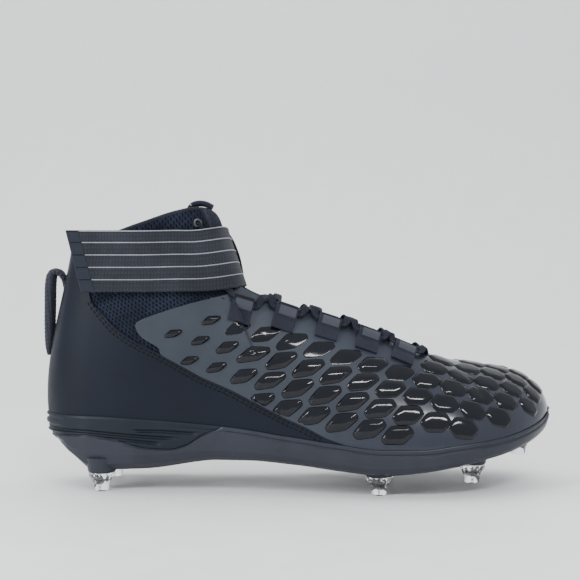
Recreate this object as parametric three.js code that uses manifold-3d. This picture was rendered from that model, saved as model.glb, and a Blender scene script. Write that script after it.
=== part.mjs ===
// A right-foot American football cleat, three-quarter high, with seven screw-in studs, an ankle
// strap and a laced throat. Millimetres, +X to the toe, +Y to the inner (medial) side, +Z up.
// Every form is worked out from the named sizes below, measured from the heel and from the floor.
import * as THREE from "three";
import { mergeVertices } from "three/addons/utils/BufferGeometryUtils.js";
import Module from "manifold-3d";

const wasm = await Module();
wasm.setup();

// Driving sizes
const lastLength = 310; // outline of the upper where it meets the sole
const heelInset = 2.5; // that outline starts this far in front of the heel's back
const ballWidth = 103; // the same outline, across the ball
const heelRim = 45.6; // top edge of the sole at the heel, above the floor
const instepHeight = 121; // throat edge at the ankle bend
const toeHeight = 70.5; // top of the toe box
const collarHeight = 147; // collar at the back
const upperWall = 2.2;
const overlayWall = 1.0; // heel counter and forefoot skin
const fitGap = 0.3; // clearance between pieces that meet
const seatDepth = 4; // how far the upper sits inside the sole's rim
const rimProud = 2.6; // how far the rim stands out from the upper
const lipClearance = 0.8; // between the rim's lip and the upper's outline
const soleTuck = 12; // how far the sole's side rounds under
const plateWall = 5.5; // side wall of the outsole's cup
const plateFloor = 4.5;
const grooveDepth = 1.4; // around the heel of the midsole
const insoleThickness = 4;
const studHeight = 11;
const studBaseRadius = 7.9;
const studTipRadius = 4.5;
const studStemRadius = 3;
const studStemLength = 6;
const studFlange = 2.2;
const bossHeight = 9;
const bossDraft = 2.6; // how much wider a stud's boss is at its top
const tongueWall = 4;
const tongueCrown = 34; // radius of the tongue's arch
const strapWidth = 36.5;
const strapWall = 1.8;
const strapStandOff = 2.3;
const laceWidth = 4.6;
const laceWall = 1.2;
const laceArch = 0.6; // how far a crossing stands clear of the tongue
const webbingWidth = 14;
const webbingLength = 17;
const webbingWall = 1.1;
const heelLoopWidth = 11;
const heelLoopWall = 6.6;
const tabWidth = 10;
const tabWall = 1.6;
const eyeletFlangeRadius = 2.7;
const eyeletBarrelRadius = 2;
const eyeletBore = 1.5;
const eyeletFlange = 0.7;

// One row for each rib of the upper, from the heel (0) to the toe (1), with shares of the named sizes.
// lateral, medial: half widths of the outline, of ballWidth. rim, under: top and underside of the sole,
// of heelRim. topX: where the rib ends, of lastLength. topY: half width there and ridgeY: its middle,
// of ballWidth. topZ: height there, of the size that the group is named after. bulge, ease: how far
// the rib swells at its foot and at its top, of ballWidth. rise, drop: those swells' length, of its height.
const sectionColumns = [
  "at", "lateral", "medial", "rim", "under", "topX", "topY", "ridgeY", "topZ", "bulge", "rise", "ease",
  "drop",
];
const sectionRows = {
  collar: [
    [0.0, 0.0, 0.0, 1.0, 0.68, 0.053, 0.0, 0, 1.0, 0.045, 0.335, 0.058, 0.335],
    [0.1, 0.175, 0.175, 1.0, 0.6, 0.065, 0.165, 0, 1.007, 0.038, 0.33, 0.05, 0.36],
    [0.15, 0.245, 0.245, 1.0, 0.42, 0.086, 0.235, 0, 1.014, 0.033, 0.325, 0.025, 0.365],
    [0.2, 0.295, 0.295, 1.0, 0.26, 0.117, 0.287, 0, 1.025, 0.03, 0.32, 0.0, 0.37],
    [0.3, 0.34, 0.335, 0.965, 0.29, 0.2, 0.35, 0, 1.08, 0.029, 0.26, -0.02, 0.385],
    [0.4, 0.355, 0.32, 0.888, 0.41, 0.278, 0.32, 0, 1.135, 0.029, 0.235, -0.01, 0.35],
    [0.44, 0.375, 0.32, 0.84, 0.41, 0.314, 0.265, 0, 1.15, 0.029, 0.22, 0.02, 0.3],
  ],
  instep: [
    [0.47, 0.395, 0.325, 0.79, 0.39, 0.345, 0.23, 0, 1.24, 0.029, 0.24, 0.05, 0.22],
    [0.485, 0.405, 0.33, 0.767, 0.375, 0.371, 0.223, 0, 1.06, 0.029, 0.26, 0.055, 0.2],
    [0.5, 0.415, 0.335, 0.745, 0.36, 0.41, 0.21, 0, 0.985, 0.029, 0.28, 0.06, 0.18],
    [0.55, 0.46, 0.38, 0.675, 0.3, 0.472, 0.17, 0.004, 0.922, 0.029, 0.29, 0.13, 0.13],
    [0.6, 0.495, 0.44, 0.62, 0.26, 0.555, 0.14, 0.01, 0.86, 0.029, 0.28, 0.17, 0.12],
    [0.65, 0.505, 0.475, 0.625, 0.3, 0.64, 0.126, 0.015, 0.79, 0.029, 0.27, 0.175, 0.12],
    [0.7, 0.495, 0.49, 0.68, 0.37, 0.718, 0.107, 0.02, 0.705, 0.027, 0.29, 0.185, 0.11],
  ],
  toe: [
    [0.77, 0.42, 0.465, 0.75, 0.48, 0.797, 0.098, 0.024, 1.09, 0.024, 0.32, 0.145, 0.0],
    [0.8, 0.37, 0.445, 0.79, 0.53, 0.83, 0.09, 0.027, 1.064, 0.024, 0.35, 0.155, 0.0],
    [0.9, 0.145, 0.32, 0.93, 0.7, 0.89, 0.045, 0.05, 1.021, 0.02, 0.42, 0.165, 0.0],
    [1.0, -0.09, 0.09, 1.04, 0.86, 0.92, 0.0, 0.09, 1.0, 0.02, 0.5, 0.155, 0.0],
  ],
};
const throatRoundFrom = 0.7; // the throat narrows from here and closes in a round end
const throatEnd = 0.77;
const ribPlaces = [
  0, 0.05, 0.1, 0.15, 0.2, 0.25, 0.3, 0.35, 0.4, 0.44, 0.47, 0.485, 0.5, 0.53, 0.56, 0.6, 0.65,
  throatRoundFrom, 0.735, 0.757, throatEnd, 0.8, 0.84, 0.88, 0.92, 0.96, 1,
];
const ribSteps = 8;

// Smooth curve through a table's column, with no overshoot.
function smoothColumn(places, values) {
  const last = places.length - 1;
  const slopes = values.slice(1).map((v, i) => (v - values[i]) / (places[i + 1] - places[i]));
  const tangents = values.map((_, i) => {
    if (i === 0) return slopes[0];
    if (i === last) return slopes[last - 1];
    const [before, after] = [slopes[i - 1], slopes[i]];
    return before * after <= 0 ? 0 : (2 * before * after) / (before + after);
  });
  return (place) => {
    const at = THREE.MathUtils.clamp(place, places[0], places[last]);
    const i = Math.max(0, places.slice(0, last).findLastIndex((p) => p <= at));
    const span = places[i + 1] - places[i];
    const s = (at - places[i]) / span;
    const bend = s * s * (3 - 2 * s);
    const start = s * (1 - s) * (1 - s) * span * tangents[i];
    const end = s * s * (s - 1) * span * tangents[i + 1];
    return values[i] * (1 - bend) + values[i + 1] * bend + start + end;
  };
}

const heightOf = { collar: collarHeight, instep: instepHeight, toe: toeHeight };
const sections = Object.entries(sectionRows).flatMap(([follows, rows]) =>
  rows.map((row) => ({
    ...Object.fromEntries(sectionColumns.map((name, i) => [name, row[i]])),
    topZ: row[sectionColumns.indexOf("topZ")] * heightOf[follows],
  })),
);
const section = Object.fromEntries(
  sectionColumns.map((name) => [name, smoothColumn(sections.map((r) => r.at), sections.map((r) => r[name]))]),
);

const lateral = -1;
const medial = 1;
const footX = (u) => heelInset + (lastLength * (1 - Math.cos(Math.PI * u))) / 2;

function outlineAt(u, side) {
  const halfWidth = side === lateral ? section.lateral(u) : section.medial(u);
  return new THREE.Vector2(footX(u), side * halfWidth * ballWidth);
}

function outlineNormal(u, side) {
  if (u === 0 || u === 1) return new THREE.Vector2(u ? 1 : -1, 0);
  const step = 1e-3;
  const along = outlineAt(Math.min(1, u + step), side).sub(outlineAt(Math.max(0, u - step), side));
  return new THREE.Vector2(-side * along.y, side * along.x).normalize();
}

const stations = sections.map((r) => footX(r.at));
const rimAt = smoothColumn(stations, sections.map((r) => r.rim * heelRim));
const underAt = smoothColumn(stations, sections.map((r) => r.under * heelRim));

function throatShare(u) {
  if (u <= throatRoundFrom) return 1;
  if (u >= throatEnd) return 0;
  return Math.sqrt(1 - ((u - throatRoundFrom) / (throatEnd - throatRoundFrom)) ** 2);
}

function topLine(u, side, share = throatShare(u)) {
  const middle = section.ridgeY(u) * ballWidth;
  const half = section.topY(u) * ballWidth * share;
  return new THREE.Vector3(section.topX(u) * lastLength, middle + side * half, section.topZ(u));
}

// A point on the outside of the upper: u runs from heel to toe, t from the sole up to the top line.
function upperPoint(u, side, t) {
  const foot = outlineAt(u, side);
  const out = outlineNormal(u, side);
  const base = new THREE.Vector3(foot.x, foot.y, rimAt(foot.x) - seatDepth + fitGap);
  const top = topLine(u, side);
  const high = top.z - base.z;
  const bulge = section.bulge(u) * ballWidth;
  const ease = section.ease(u) * ballWidth;
  const step = 1e-3;
  const ahead = topLine(Math.min(1, u + step), side);
  const behind = topLine(u - step, side);
  const ridgeSlope = ((ahead.z - behind.z) / (ahead.x - behind.x)) * (1 - throatShare(u));
  const lower = base.clone().add(new THREE.Vector3(out.x * bulge, out.y * bulge, section.rise(u) * high));
  const upper = topLine(u, side, 1).add(
    new THREE.Vector3(out.x * ease, out.y * ease, out.x * ease * ridgeSlope - section.drop(u) * high),
  );
  return new THREE.CubicBezierCurve3(base, lower, upper, top).getPoint(t);
}

function halve(low, high, below) {
  for (let i = 0; i < 26; i++) {
    const middle = (low + high) / 2;
    if (below(middle)) low = middle;
    else high = middle;
  }
  return low;
}

// Where a rib passes a height, and where the side passes a spot given in side view.
const ribHeight = (u, side, height) => halve(0, 1, (t) => upperPoint(u, side, t).z < height);
const shaftPoint = (u, side, height) => upperPoint(u, side, ribHeight(u, side, height));
function spotOn(side, x, height) {
  const u = halve(0.02, 0.98, (v) => shaftPoint(v, side, height).x < x);
  return [u, ribHeight(u, side, height)];
}

function surfaceFrame(u, side, t) {
  const step = 2e-3;
  const alongU = upperPoint(u + step, side, t).sub(upperPoint(u - step, side, t));
  const alongT = upperPoint(u, side, Math.min(1, t + step)).sub(upperPoint(u, side, t - step));
  const out = alongU.cross(alongT).normalize().multiplyScalar(-side);
  return { at: upperPoint(u, side, t), out };
}

// Solids
function toSolid(geometry) {
  const bare = geometry.clone();
  bare.deleteAttribute("normal");
  bare.deleteAttribute("uv");
  const merged = mergeVertices(bare, 1e-4);
  const triVerts = new Uint32Array(merged.index.array);
  const build = () =>
    new wasm.Manifold(
      new wasm.Mesh({ numProp: 3, vertProperties: merged.attributes.position.array, triVerts }),
    );
  const solid = build();
  if (solid.volume() > 0) return solid;
  triVerts.reverse();
  return build();
}

function toGeometry(solid) {
  const mesh = solid.getMesh();
  const geometry = new THREE.BufferGeometry();
  geometry.setAttribute("position", new THREE.BufferAttribute(new Float32Array(mesh.vertProperties), 3));
  geometry.setIndex(new THREE.BufferAttribute(new Uint32Array(mesh.triVerts), 1));
  return geometry;
}

const together = (solids) => solids.reduce((whole, one) => whole.add(one));

function geometryOf(points, triangles) {
  const geometry = new THREE.BufferGeometry().setFromPoints(points);
  geometry.setIndex(triangles.flat());
  return geometry;
}

// Rows of points become a grid of triangles.
function gridTriangles(rows, columns) {
  const triangles = [];
  for (let i = 0; i + 1 < rows; i++) {
    for (let j = 0; j + 1 < columns; j++) {
      const [a, b] = [i * columns + j, (i + 1) * columns + j];
      triangles.push([a, b, b + 1], [a, b + 1, a + 1]);
    }
  }
  return triangles;
}
const turned = (triangles) => triangles.map((face) => [...face].reverse());

// Gives a surface a thickness, from inner to outer along its normals, and closes its open edges.
function thicken(geometry, inner, outer) {
  const surface = mergeVertices(geometry, 1e-3);
  surface.computeVertexNormals();
  const place = surface.attributes.position;
  const normal = surface.attributes.normal;
  const points = [];
  for (const depth of [outer, inner]) {
    for (let i = 0; i < place.count; i++) {
      const n = new THREE.Vector3().fromBufferAttribute(normal, i);
      points.push(new THREE.Vector3().fromBufferAttribute(place, i).addScaledVector(n, depth));
    }
  }
  const faces = [];
  for (let i = 0; i < surface.index.count; i += 3) {
    const face = [0, 1, 2].map((k) => surface.index.getX(i + k));
    if (new Set(face).size === 3) faces.push(face);
  }
  const edges = new Set(faces.flatMap(([a, b, c]) => [`${a},${b}`, `${b},${c}`, `${c},${a}`]));
  const open = [...edges].map((e) => e.split(",").map(Number)).filter(([a, b]) => !edges.has(`${b},${a}`));
  const below = (i) => i + place.count;
  const triangles = faces.flatMap(([a, b, c]) => [[a, b, c], [below(c), below(b), below(a)]]);
  for (const [a, b] of open) triangles.push([b, a, below(a)], [b, below(a), below(b)]);
  return toSolid(geometryOf(points, triangles));
}

// Stacked closed rings, each listed the same way round, with a flat cap over the first and the last.
// A ring lists the lateral side from heel to toe and then the medial side back to the heel.
function stackRings(rings) {
  const count = rings[0].length;
  const triangles = [];
  for (let k = 0; k + 1 < rings.length; k++) {
    for (let i = 0; i < count; i++) {
      const next = (i + 1) % count;
      const [a, b, c, d] = [k * count + i, k * count + next, (k + 1) * count + next, (k + 1) * count + i];
      triangles.push([a, b, c], [a, c, d]);
    }
  }
  const capTriangles = (start, flip) => {
    for (let i = 0; i < count / 2; i++) {
      const [a, b] = [start + i, start + i + 1];
      const [c, d] = [start + ((count - i) % count), start + ((count - i - 1) % count)];
      for (const face of [[a, d, b], [a, c, d]]) {
        if (new Set(face).size === 3) triangles.push(flip ? face.reverse() : face);
      }
    }
  };
  capTriangles(0, false);
  capTriangles((rings.length - 1) * count, true);
  return toSolid(geometryOf(rings.flat(), triangles));
}

// A strip with a rectangular section: points on its path, the way it faces at each, and its section there.
function sweepStrip(path) {
  const points = [];
  path.forEach(({ at, up, width, wall }, i) => {
    const before = path[Math.max(0, i - 1)].at;
    const after = path[Math.min(path.length - 1, i + 1)].at;
    const along = after.clone().sub(before).normalize();
    const across = along.clone().cross(up).normalize();
    const face = across.clone().cross(along).normalize();
    for (const [w, h] of [[-0.5, -0.5], [0.5, -0.5], [0.5, 0.5], [-0.5, 0.5]]) {
      points.push(at.clone().addScaledVector(across, w * width).addScaledVector(face, h * wall));
    }
  });
  const triangles = [[0, 1, 2], [0, 2, 3]];
  for (let i = 0; i + 1 < path.length; i++) {
    for (let j = 0; j < 4; j++) {
      const [a, b] = [i * 4 + j, i * 4 + ((j + 1) % 4)];
      triangles.push([a, a + 4, b + 4], [a, b + 4, b]);
    }
  }
  const end = (path.length - 1) * 4;
  triangles.push([end, end + 2, end + 1], [end, end + 3, end + 2]);
  return toSolid(geometryOf(points, triangles));
}

// A closed profile of [radius, height] turned about its own axis, then stood on a spot.
function turnedSolid(profile, at, axis = new THREE.Vector3(0, 0, 1), facets = 12) {
  const geometry = new THREE.LatheGeometry(profile.map(([r, h]) => new THREE.Vector2(r, h)), facets);
  geometry.applyQuaternion(new THREE.Quaternion().setFromUnitVectors(new THREE.Vector3(0, 1, 0), axis));
  return toSolid(geometry.translate(at.x, at.y, at.z));
}

// An outline in side view, cut straight across both sides.
function sideCutter(outline) {
  const shape = new THREE.Shape(outline.map(([x, z]) => new THREE.Vector2(x, z)));
  const reach = ballWidth * 2;
  const geometry = new THREE.ExtrudeGeometry(shape, { depth: reach, bevelEnabled: false, steps: 1 });
  return toSolid(geometry.rotateX(Math.PI / 2).translate(0, reach / 2, 0));
}

// Upper. pastEdge carries each rib on past the collar and the throat's edge, by that share of its length.
function upperSurface(pastEdge = 0) {
  const points = [lateral, medial].flatMap((side) =>
    ribPlaces.flatMap((u) =>
      Array.from({ length: ribSteps + 1 }, (_, j) =>
        upperPoint(u, side, (j / ribSteps) * (1 + pastEdge * throatShare(u))),
      ),
    ),
  );
  const oneSide = gridTriangles(ribPlaces.length, ribSteps + 1);
  const shift = points.length / 2;
  return geometryOf(points, [...oneSide, ...turned(oneSide).map((f) => f.map((i) => i + shift))]);
}
const surface = upperSurface();
const pastEdge = 0.012;
const keepOff = (outer) => thicken(upperSurface(pastEdge), -upperWall - fitGap, outer);
const overlayTop = fitGap + overlayWall;
const offOverlays = keepOff(overlayTop + fitGap);

const eyeletSpot = { x: 0.31, z: 1.092 }; // of lastLength and collarHeight
const eyeletFrame = (side) =>
  surfaceFrame(...((spot) => [spot[0], side, spot[1]])(
    spotOn(side, eyeletSpot.x * lastLength, eyeletSpot.z * collarHeight),
  ));
const eyeletHole = (side) => {
  const { at, out } = eyeletFrame(side);
  const radius = eyeletBarrelRadius + fitGap;
  return turnedSolid([[0, -upperWall * 2], [radius, -upperWall * 2], [radius, 2], [0, 2]], at, out, 10);
};
const topEyelet = (side) => {
  const { at, out } = eyeletFrame(side);
  const profile = [
    [eyeletBore, fitGap + eyeletFlange], [eyeletFlangeRadius, fitGap + eyeletFlange],
    [eyeletFlangeRadius, fitGap], [eyeletBarrelRadius, fitGap], [eyeletBarrelRadius, -upperWall],
    [eyeletBore, -upperWall], [eyeletBore, fitGap + eyeletFlange],
  ];
  return turnedSolid(profile, at, out, 10);
};
const upper = thicken(surface, -upperWall, 0).subtract(eyeletHole(lateral)).subtract(eyeletHole(medial));

// Sole: its outer form, then the line that parts the midsole from the outsole's plate
function outlineRing(beyond, heightAt) {
  const point = (u, side) => {
    const foot = outlineAt(u, side).addScaledVector(outlineNormal(u, side), beyond(u));
    return new THREE.Vector3(foot.x, foot.y, heightAt(foot.x));
  };
  const lateralSide = ribPlaces.map((u) => point(u, lateral));
  const medialSide = ribPlaces.slice(1, -1).map((u) => point(u, medial)).reverse();
  return [...lateralSide, ...medialSide];
}

// proud: of rimProud. tuck: of soleTuck. height: share of the side's height. The last two are the
// depth of a groove at the heel and at the ball, of grooveDepth.
const soleRows = [
  { proud: 0, tuck: 1, height: 0, heel: 0, ball: 0 },
  { proud: 0, tuck: 0.37, height: 0.03, heel: 0, ball: 0 },
  { proud: 0.1, tuck: 0, height: 0.15, heel: 0, ball: 0 },
  { proud: 0.7, tuck: 0, height: 0.32, heel: 0, ball: 0 },
  { proud: 0.92, tuck: 0, height: 0.52, heel: 0, ball: 0 },
  { proud: 0.95, tuck: 0, height: 0.57, heel: 1, ball: 0 },
  { proud: 1, tuck: 0, height: 0.63, heel: 0, ball: 0 },
  { proud: 1, tuck: 0, height: 0.69, heel: 1, ball: 0 },
  { proud: 1, tuck: 0, height: 0.75, heel: 0, ball: 0 },
  { proud: 1, tuck: 0, height: 0.81, heel: 1, ball: 0.6 },
  { proud: 1, tuck: 0, height: 0.87, heel: 0, ball: 0 },
  { proud: 1, tuck: 0, height: 0.95, heel: 0, ball: 0 },
];
const heelShare = smoothColumn([0, 0.2, 0.36, 0.42, 1], [1, 1, 0.7, 0, 0]);

function soleForm() {
  const rings = soleRows.map(({ proud, tuck, height, heel, ball }) =>
    outlineRing(
      (u) => {
        const groove = THREE.MathUtils.lerp(ball, heel, heelShare(u)) * grooveDepth;
        return proud * rimProud - tuck * soleTuck - groove;
      },
      (x) => THREE.MathUtils.lerp(underAt(x), rimAt(x), height),
    ),
  );
  rings.push(outlineRing(() => rimProud - 0.7, rimAt));
  rings.push(outlineRing(() => lipClearance, rimAt));
  rings.push(outlineRing(() => fitGap, (x) => rimAt(x) - seatDepth));
  return stackRings(rings);
}

const waveLine = [
  [-0.06, 0.69], [0.016, 0.72], [0.1, 0.74], [0.163, 0.67], [0.21, 0.59], [0.26, 0.575], [0.293, 0.64],
  [0.326, 0.78], [0.352, 0.845], [0.37, 0.95], [0.37, 2], [-0.06, 2],
];
const waveCut = (raise) => sideCutter(waveLine.map(([x, z]) => [x * lastLength, z * heelRim + raise]));

function cupCore(clearance) {
  const inside = () => rimProud - plateWall - clearance;
  return stackRings([
    outlineRing(inside, (x) => underAt(x) + plateFloor + clearance),
    outlineRing(inside, (x) => rimAt(x) + seatDepth),
  ]);
}

const sole = soleForm();
const midsoleBlock = sole.intersect(waveCut(fitGap).add(cupCore(fitGap)));
const plate = sole.subtract(waveCut(0)).subtract(cupCore(0));

// Studs: x and y as shares of lastLength and ballWidth, and the tip's height above the floor, of heelRim.
const studTable = {
  heel_lateral: { x: 0.123, y: -0.233, lift: 0 },
  heel_medial: { x: 0.123, y: 0.233, lift: 0 },
  ball_lateral: { x: 0.658, y: -0.369, lift: 0 },
  ball_medial: { x: 0.684, y: 0.34, lift: 0 },
  front_lateral: { x: 0.84, y: -0.27, lift: 0.12 },
  front_medial: { x: 0.865, y: 0.32, lift: 0.14 },
  toe: { x: 0.957, y: 0.1, lift: 0.36 },
};
const studSeat = ({ x, y, lift }, height) =>
  new THREE.Vector3(x * lastLength, y * ballWidth, lift * heelRim + height);
const stud = (place) =>
  turnedSolid(
    [
      [0, 0], [studTipRadius, 0], [studTipRadius + 0.8, studHeight * 0.45],
      [studBaseRadius, studHeight - studFlange], [studBaseRadius, studHeight], [studStemRadius, studHeight],
      [studStemRadius, studHeight + studStemLength], [0, studHeight + studStemLength],
    ],
    studSeat(place, 0),
  );
const boss = (place) =>
  turnedSolid(
    [[0, 0], [studBaseRadius + fitGap, 0], [studBaseRadius + bossDraft, bossHeight], [0, bossHeight]],
    studSeat(place, studHeight + fitGap),
  );
const socket = (place) => {
  const [seat, bore] = [studBaseRadius + fitGap, studStemRadius + fitGap];
  const deep = studStemLength + fitGap;
  return turnedSolid(
    [[0, -studFlange - 2], [seat, -studFlange - 2], [seat, fitGap], [bore, fitGap], [bore, deep], [0, deep]],
    studSeat(place, studHeight),
  );
};
const studPlaces = Object.values(studTable);
const sockets = together(studPlaces.map(socket));
const bosses = together(studPlaces.map(boss)).subtract(cupCore(0)).subtract(waveCut(0));
const outsole = plate.add(bosses).subtract(sockets);
const midsole = midsoleBlock.subtract(sockets);

// Insole
const insoleInset = -upperWall - 0.8;
const insole = stackRings(
  [[0, 0], [0, 0.7], [-1.7, 1]].map(([inward, share]) =>
    outlineRing(() => insoleInset + inward, (x) => rimAt(x) - seatDepth + fitGap + share * insoleThickness),
  ),
);

// Overlays: a shell just outside the upper, cut to each panel's outline in side view, where
// x is a share of lastLength and z of the height from the sole's rim up to collarHeight.
const overlayShell = thicken(surface, fitGap, overlayTop);
const counterSeam = [
  [0.11, 1.15], [0.105, 0.698], [0.135, 0.583], [0.162, 0.503], [0.202, 0.432], [0.244, 0.374],
  [0.285, 0.313], [0.324, 0.258], [0.373, 0.208], [0.424, 0.15], [0.477, 0.095], [0.523, 0.057],
  [0.561, 0.019], [0.6, 0],
];
const seamMeetsSkin = 5; // the skin joins the seam at this point of it
const skinEdge = [
  [0.249, 0.393], [0.238, 0.413], [0.207, 0.468], [0.195, 0.523], [0.197, 0.556], [0.219, 0.589],
  [0.272, 0.646], [0.324, 0.694], [0.368, 0.727], [0.385, 0.774], [0.42, 0.933],
];
const cutterReach = 20; // how far a cutter runs on past the heel and the toe
const onSide = ([x, z]) => [x * lastLength, THREE.MathUtils.lerp(rimAt(x * lastLength), collarHeight, z)];
const rimPlaces = ribPlaces.map(footX);
const aboveRim = (from, to) =>
  [from, ...rimPlaces.filter((x) => x > from && x < to), to].map((x) => [x, rimAt(x) + fitGap]);

function counterOutline() {
  const seam = counterSeam.map(onSide);
  return [[-cutterReach, seam[0][1]], ...aboveRim(-cutterReach, seam.at(-1)[0]), ...seam.slice(0, -1).reverse()];
}

function skinOutline() {
  const seam = counterSeam.slice(seamMeetsSkin).map(onSide).map(([x, z]) => [x + fitGap, z + fitGap]);
  const front = lastLength + cutterReach;
  return [
    ...seam.slice(0, -1),
    ...aboveRim(seam.at(-1)[0], front),
    [front, collarHeight],
    ...skinEdge.map(onSide).reverse(),
  ];
}
const heelCounter = overlayShell.intersect(sideCutter(counterOutline()));
const forefootSkin = overlayShell.intersect(sideCutter(skinOutline()));

// Tongue: its face along the middle, from under the vamp to its rounded top. x is a share of lastLength,
// z of instepHeight, and half, its half width, and middle are shares of ballWidth.
const tongueRows = [
  { x: 0.812, z: 0.588, half: 0.13, middle: 0.024 },
  { x: 0.775, z: 0.628, half: 0.17, middle: 0.022 },
  { x: 0.718, z: 0.71, half: 0.2, middle: 0.02 },
  { x: 0.64, z: 0.795, half: 0.215, middle: 0.015 },
  { x: 0.555, z: 0.865, half: 0.225, middle: 0.01 },
  { x: 0.47, z: 0.927, half: 0.23, middle: 0.004 },
  { x: 0.424, z: 0.965, half: 0.235, middle: 0 },
  { x: 0.388, z: 1.035, half: 0.235, middle: 0 },
  { x: 0.37, z: 1.13, half: 0.235, middle: 0 },
  { x: 0.359, z: 1.25, half: 0.22, middle: 0 },
  { x: 0.352, z: 1.33, half: 0.205, middle: 0 },
  { x: 0.342, z: 1.385, half: 0.185, middle: 0 },
  { x: 0.327, z: 1.415, half: 0.155, middle: 0 },
  { x: 0.31, z: 1.425, half: 0.11, middle: 0 },
];
const tongueColumns = 8;
const tonguePlace = (row) =>
  new THREE.Vector3(row.x * lastLength, row.middle * ballWidth, row.z * instepHeight);

function tongueFrame(i) {
  const last = tongueRows.length - 1;
  const [next, before] = [tongueRows[Math.min(last, i + 1)], tongueRows[Math.max(0, i - 1)]];
  const along = tonguePlace(next).sub(tonguePlace(before));
  along.setY(0).normalize();
  return { at: tonguePlace(tongueRows[i]), out: new THREE.Vector3(along.z, 0, -along.x) };
}

function tonguePoint(i, share) {
  const { at, out } = tongueFrame(i);
  const sideways = share * tongueRows[i].half * ballWidth;
  at.y += sideways;
  return at.addScaledVector(out, (-sideways * sideways) / (2 * tongueCrown));
}

// How high the tongue's face lies under a crossing of the lace.
const tongueHeight = smoothColumn(
  tongueRows.slice(0, 8).reverse().map((r) => r.x * lastLength),
  tongueRows.slice(0, 8).reverse().map((r) => r.z * instepHeight),
);

const tongueSheet = geometryOf(
  tongueRows.flatMap((_, i) =>
    Array.from({ length: tongueColumns + 1 }, (__, j) => tonguePoint(i, (2 * j) / tongueColumns - 1)),
  ),
  turned(gridTriangles(tongueRows.length, tongueColumns + 1)),
);
const largest = (solid) => solid.decompose().sort((a, b) => b.volume() - a.volume())[0];
const tongue = largest(thicken(tongueSheet, -tongueWall, 0).subtract(keepOff(2 * tongueWall)));

// Ankle strap: from its sewn end at the back of the medial side, round the front, to its free end.
const strapLow = { side: 0.811, front: 0.85 }; // its lower edge, of collarHeight
const strapFront = { low: 0.4019, lean: 0.335 }; // its face in front, of lastLength, and its slope back
const strapFreeEnd = { low: 0.092, high: 0.062, y: 0.372 }; // of lastLength and ballWidth
const strapRows = 4;
const strapFrontColumns = 10;
const strapSquareness = 3;
const strapSideFrom = 0.42;
const strapDepth = strapStandOff + strapWall / 2;

function strapHeight(front, share) {
  return THREE.MathUtils.lerp(strapLow.side, strapLow.front, front) * collarHeight + share * strapWidth;
}

function strapSide(u, side, share) {
  const front = THREE.MathUtils.smoothstep(u, 0.2, strapSideFrom) * 0.6;
  const height = strapHeight(front, share);
  const { at, out } = surfaceFrame(u, side, ribHeight(u, side, height));
  return at.add(out.setZ(0).normalize().multiplyScalar(strapDepth)).setZ(height);
}

// turn runs from the lateral side (0) over the front (0.5) to the medial side (1).
function strapOverFront(turn, share) {
  const height = strapHeight(0.6 + 0.4 * Math.sin(Math.PI * turn), share);
  const [near, far] = [lateral, medial].map((side) => strapSide(strapSideFrom, side, share));
  const rise = height - strapLow.front * collarHeight;
  const front = strapFront.low * lastLength - strapFront.lean * rise - strapWall / 2;
  const bend = (v) => Math.sign(v) * Math.abs(v) ** (2 / strapSquareness);
  const x0 = THREE.MathUtils.lerp(near.x, far.x, turn);
  return new THREE.Vector3(
    x0 + (front - x0) * bend(Math.sin(Math.PI * turn)),
    (near.y + far.y) / 2 + ((near.y - far.y) / 2) * bend(Math.cos(Math.PI * turn)),
    height,
  );
}

function strapSurface() {
  const columns = [];
  const shares = Array.from({ length: strapRows }, (_, k) => k / (strapRows - 1));
  for (const reach of [0, 0.35, 0.7]) {
    columns.push(shares.map((share) => {
      const end = THREE.MathUtils.lerp(strapFreeEnd.low, strapFreeEnd.high, share) * lastLength;
      const side = strapSide(0.28, lateral, share);
      const x = THREE.MathUtils.lerp(end, side.x, reach);
      return new THREE.Vector3(x, -strapFreeEnd.y * ballWidth, strapHeight(0, share));
    }));
  }
  for (const u of [0.3, 0.34, 0.38, strapSideFrom]) columns.push(shares.map((s) => strapSide(u, lateral, s)));
  for (let i = 1; i < strapFrontColumns; i++) {
    columns.push(shares.map((s) => strapOverFront(i / strapFrontColumns, s)));
  }
  for (const u of [strapSideFrom, 0.38, 0.34, 0.29, 0.24, 0.2, 0.16]) {
    columns.push(shares.map((s) => strapSide(u, medial, s)));
  }
  return geometryOf(columns.flat(), gridTriangles(columns.length, strapRows));
}
const ankleStrap = largest(
  thicken(strapSurface(), -strapWall / 2, strapWall / 2).subtract(keepOff(laceWall + 3 * fitGap)),
);

// Pull loops at the heel and at the tongue's top, in the middle plane: x is a share of lastLength and z
// of the height that each follows, collarHeight or instepHeight; the last is a share of the loop's wall.
const heelLoopPath = [
  [0.039, 0.81, 0.45], [0.034, 0.862, 0.5], [0.0235, 0.893, 0.65], [0.0105, 0.89, 0.85], [0.0055, 0.85, 1],
  [0.0045, 0.75, 1], [0.004, 0.67, 0.95], [0.004, 0.59, 0.8], [0.005, 0.545, 0.45],
];
const inMiddle = ([x, z], height) => new THREE.Vector3(x * lastLength, 0, z * height);
const sideways = new THREE.Vector3(0, 1, 0);
const heelLoop = largest(
  sweepStrip(
    heelLoopPath.map((row) => ({
      at: inMiddle(row, collarHeight), up: sideways, width: heelLoopWall * row[2], wall: heelLoopWidth,
    })),
  ).subtract(offOverlays),
);

// Lace loops: webbing folded over the lace, in side view at x of lastLength and z of instepHeight,
// with the slope of the fold. The frame of each is along the throat, down the side, and out.
const loopTable = [
  { x: 0.396, z: 0.952, slope: -0.3 },
  { x: 0.481, z: 0.895, slope: -0.34 },
  { x: 0.565, z: 0.836, slope: -0.32 },
  { x: 0.642, z: 0.77, slope: -0.36 },
  { x: 0.714, z: 0.695, slope: -0.42 },
];
const laceRoom = laceWall + 2 * fitGap;
const tunnelMiddle = { down: 3.2, out: overlayTop + fitGap + webbingWall + laceRoom / 2 };

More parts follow.
